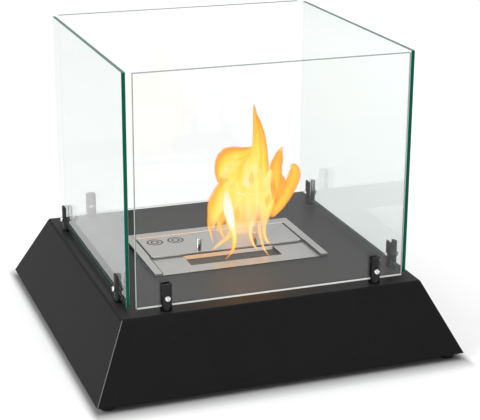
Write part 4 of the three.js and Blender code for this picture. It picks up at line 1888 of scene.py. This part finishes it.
@dataclass
class Studio:
    """Pale floor, soft lights, white surroundings and the camera; ramps are of places and greys."""

    camera_place: Point = (-0.61897, -1.76891, 0.78914)
    camera_target: Point = (0.0013, -0.0617, 0.1762)
    camera_roll: float = math.radians(0.31)
    lens: float = 106.53
    sensor_width: float = 36.0
    floor_half: float = 6.0
    floor_steps: int = 8
    base_half: float = 0.25
    glow_reach: float = 2.4
    shade_stretch: Point = (3.0, 1.0, 1.0)
    # A painted shadow round the base: floor greys and a painted glow, by distance beyond it.
    floor_shadow_tones: tuple[Pair, ...] = ((0.0, 0.4), (0.003, 0.5), (0.012, 0.84))
    floor_painted_glow: tuple[Pair, ...] = (
        (0.0, 0.0), (0.004, 0.08), (0.017, 0.45), (0.25, 0.45), (0.5, 0.62), (1.0, 1.0),
    )
    glow_strength: float = 0.4
    sky_tones: tuple[Pair, ...] = (
        (0.0, 0.9), (0.5, 0.5), (0.68, 0.56), (0.78, 0.4), (1.0, 0.5),
    )
    lights: tuple[Softbox, ...] = (
        Softbox("overhead", (0.35, 0.2, 2.5), 3.6, 52),
        Softbox("left_strip", (-1.7, -0.6, 1.1), 0.9, 16),
    )
    light_passes: int = 40

    def floor(self) -> None:
        """Lays the floor, shaded by how far it lies beyond the base."""
        made = bmesh.new()
        steps = self.floor_steps
        bmesh.ops.create_grid(made, x_segments=steps, y_segments=steps, size=self.floor_half)
        mesh = bpy.data.meshes.new("studio_floor")
        made.to_mesh(mesh)
        made.free()
        material = bpy.data.materials.new("studio_floor")
        material.use_nodes = True
        graph = Graph(material.node_tree)
        beyond = graph.vector("ABSOLUTE", graph.node("ShaderNodeTexCoord", output="Object"))
        beyond = graph.vector("SUBTRACT", beyond, (self.base_half, self.base_half, 0))
        beyond = graph.vector("MAXIMUM", beyond, (0, 0, 0))
        beyond = graph.vector("MULTIPLY", beyond, self.shade_stretch)
        away = graph.vector("LENGTH", beyond, output="Value") * (1 / self.glow_reach)
        pale = graph.principled(
            Base_Color=graph.grey_ramp(away, self.floor_shadow_tones),
            Roughness=0.9,
            Specular_IOR_Level=0.1,
            Emission_Color=graph.grey_ramp(away, self.floor_painted_glow),
            Emission_Strength=self.glow_strength,
        )
        graph.show(pale)
        mesh.materials.append(material)
        linked("studio_floor", mesh)

    def world(self) -> None:
        """Makes white surroundings that are brightest near the horizon when mirrored."""
        world = bpy.data.worlds.new("studio")
        bpy.context.scene.world = world
        world.use_nodes = True
        graph = Graph(world.node_tree)
        towards = graph.node("ShaderNodeTexCoord", output="Generated")
        height = graph.node("ShaderNodeSeparateXYZ", {}, {0: towards}, output="Z")
        sky = graph.grey_ramp(height * 0.5 + 0.5, self.sky_tones)
        seen = graph.node("ShaderNodeLightPath", output="Is Camera Ray")
        colour = graph.mix(seen, sky, grey(1.0))
        background = graph.node("ShaderNodeBackground", {}, {"Color": colour, "Strength": 1.0})
        graph.show(background, "ShaderNodeOutputWorld")

    def camera(self) -> None:
        """Sets up the camera."""
        camera = bpy.data.cameras.new("camera")
        camera.lens = self.lens
        camera.sensor_width = self.sensor_width
        camera.sensor_fit = "HORIZONTAL"
        holder = linked("camera", camera)
        holder.location = self.camera_place
        aim = Vector(self.camera_target) - Vector(self.camera_place)
        turn = aim.to_track_quat("-Z", "Y").to_matrix() @ Matrix.Rotation(self.camera_roll, 3, "Z")
        holder.rotation_euler = turn.to_euler()
        bpy.context.scene.camera = holder

    def build(self) -> None:
        """Builds the studio."""
        self.camera()
        self.floor()
        self.world()
        for light in self.lights:
            light.hang()
        scene = bpy.context.scene
        scene.view_settings.view_transform = "Standard"
        scene.cycles.transparent_max_bounces = self.light_passes
        LOG.info("studio set")


def main() -> None:
    """Builds the studio and the fireplace."""
    logging.basicConfig(level=logging.INFO, format="%(message)s")
    Studio().build()
    assemblies = (BaseCasing, FootSet, GlassEnclosure, PostSet, BurnerUnit, SlidingLid, Flame)
    for assembly in assemblies:
        pieces = assembly().build()
        LOG.info("%s: %d pieces", assembly.__name__, len(pieces))


if __name__ == "__main__":
    main()
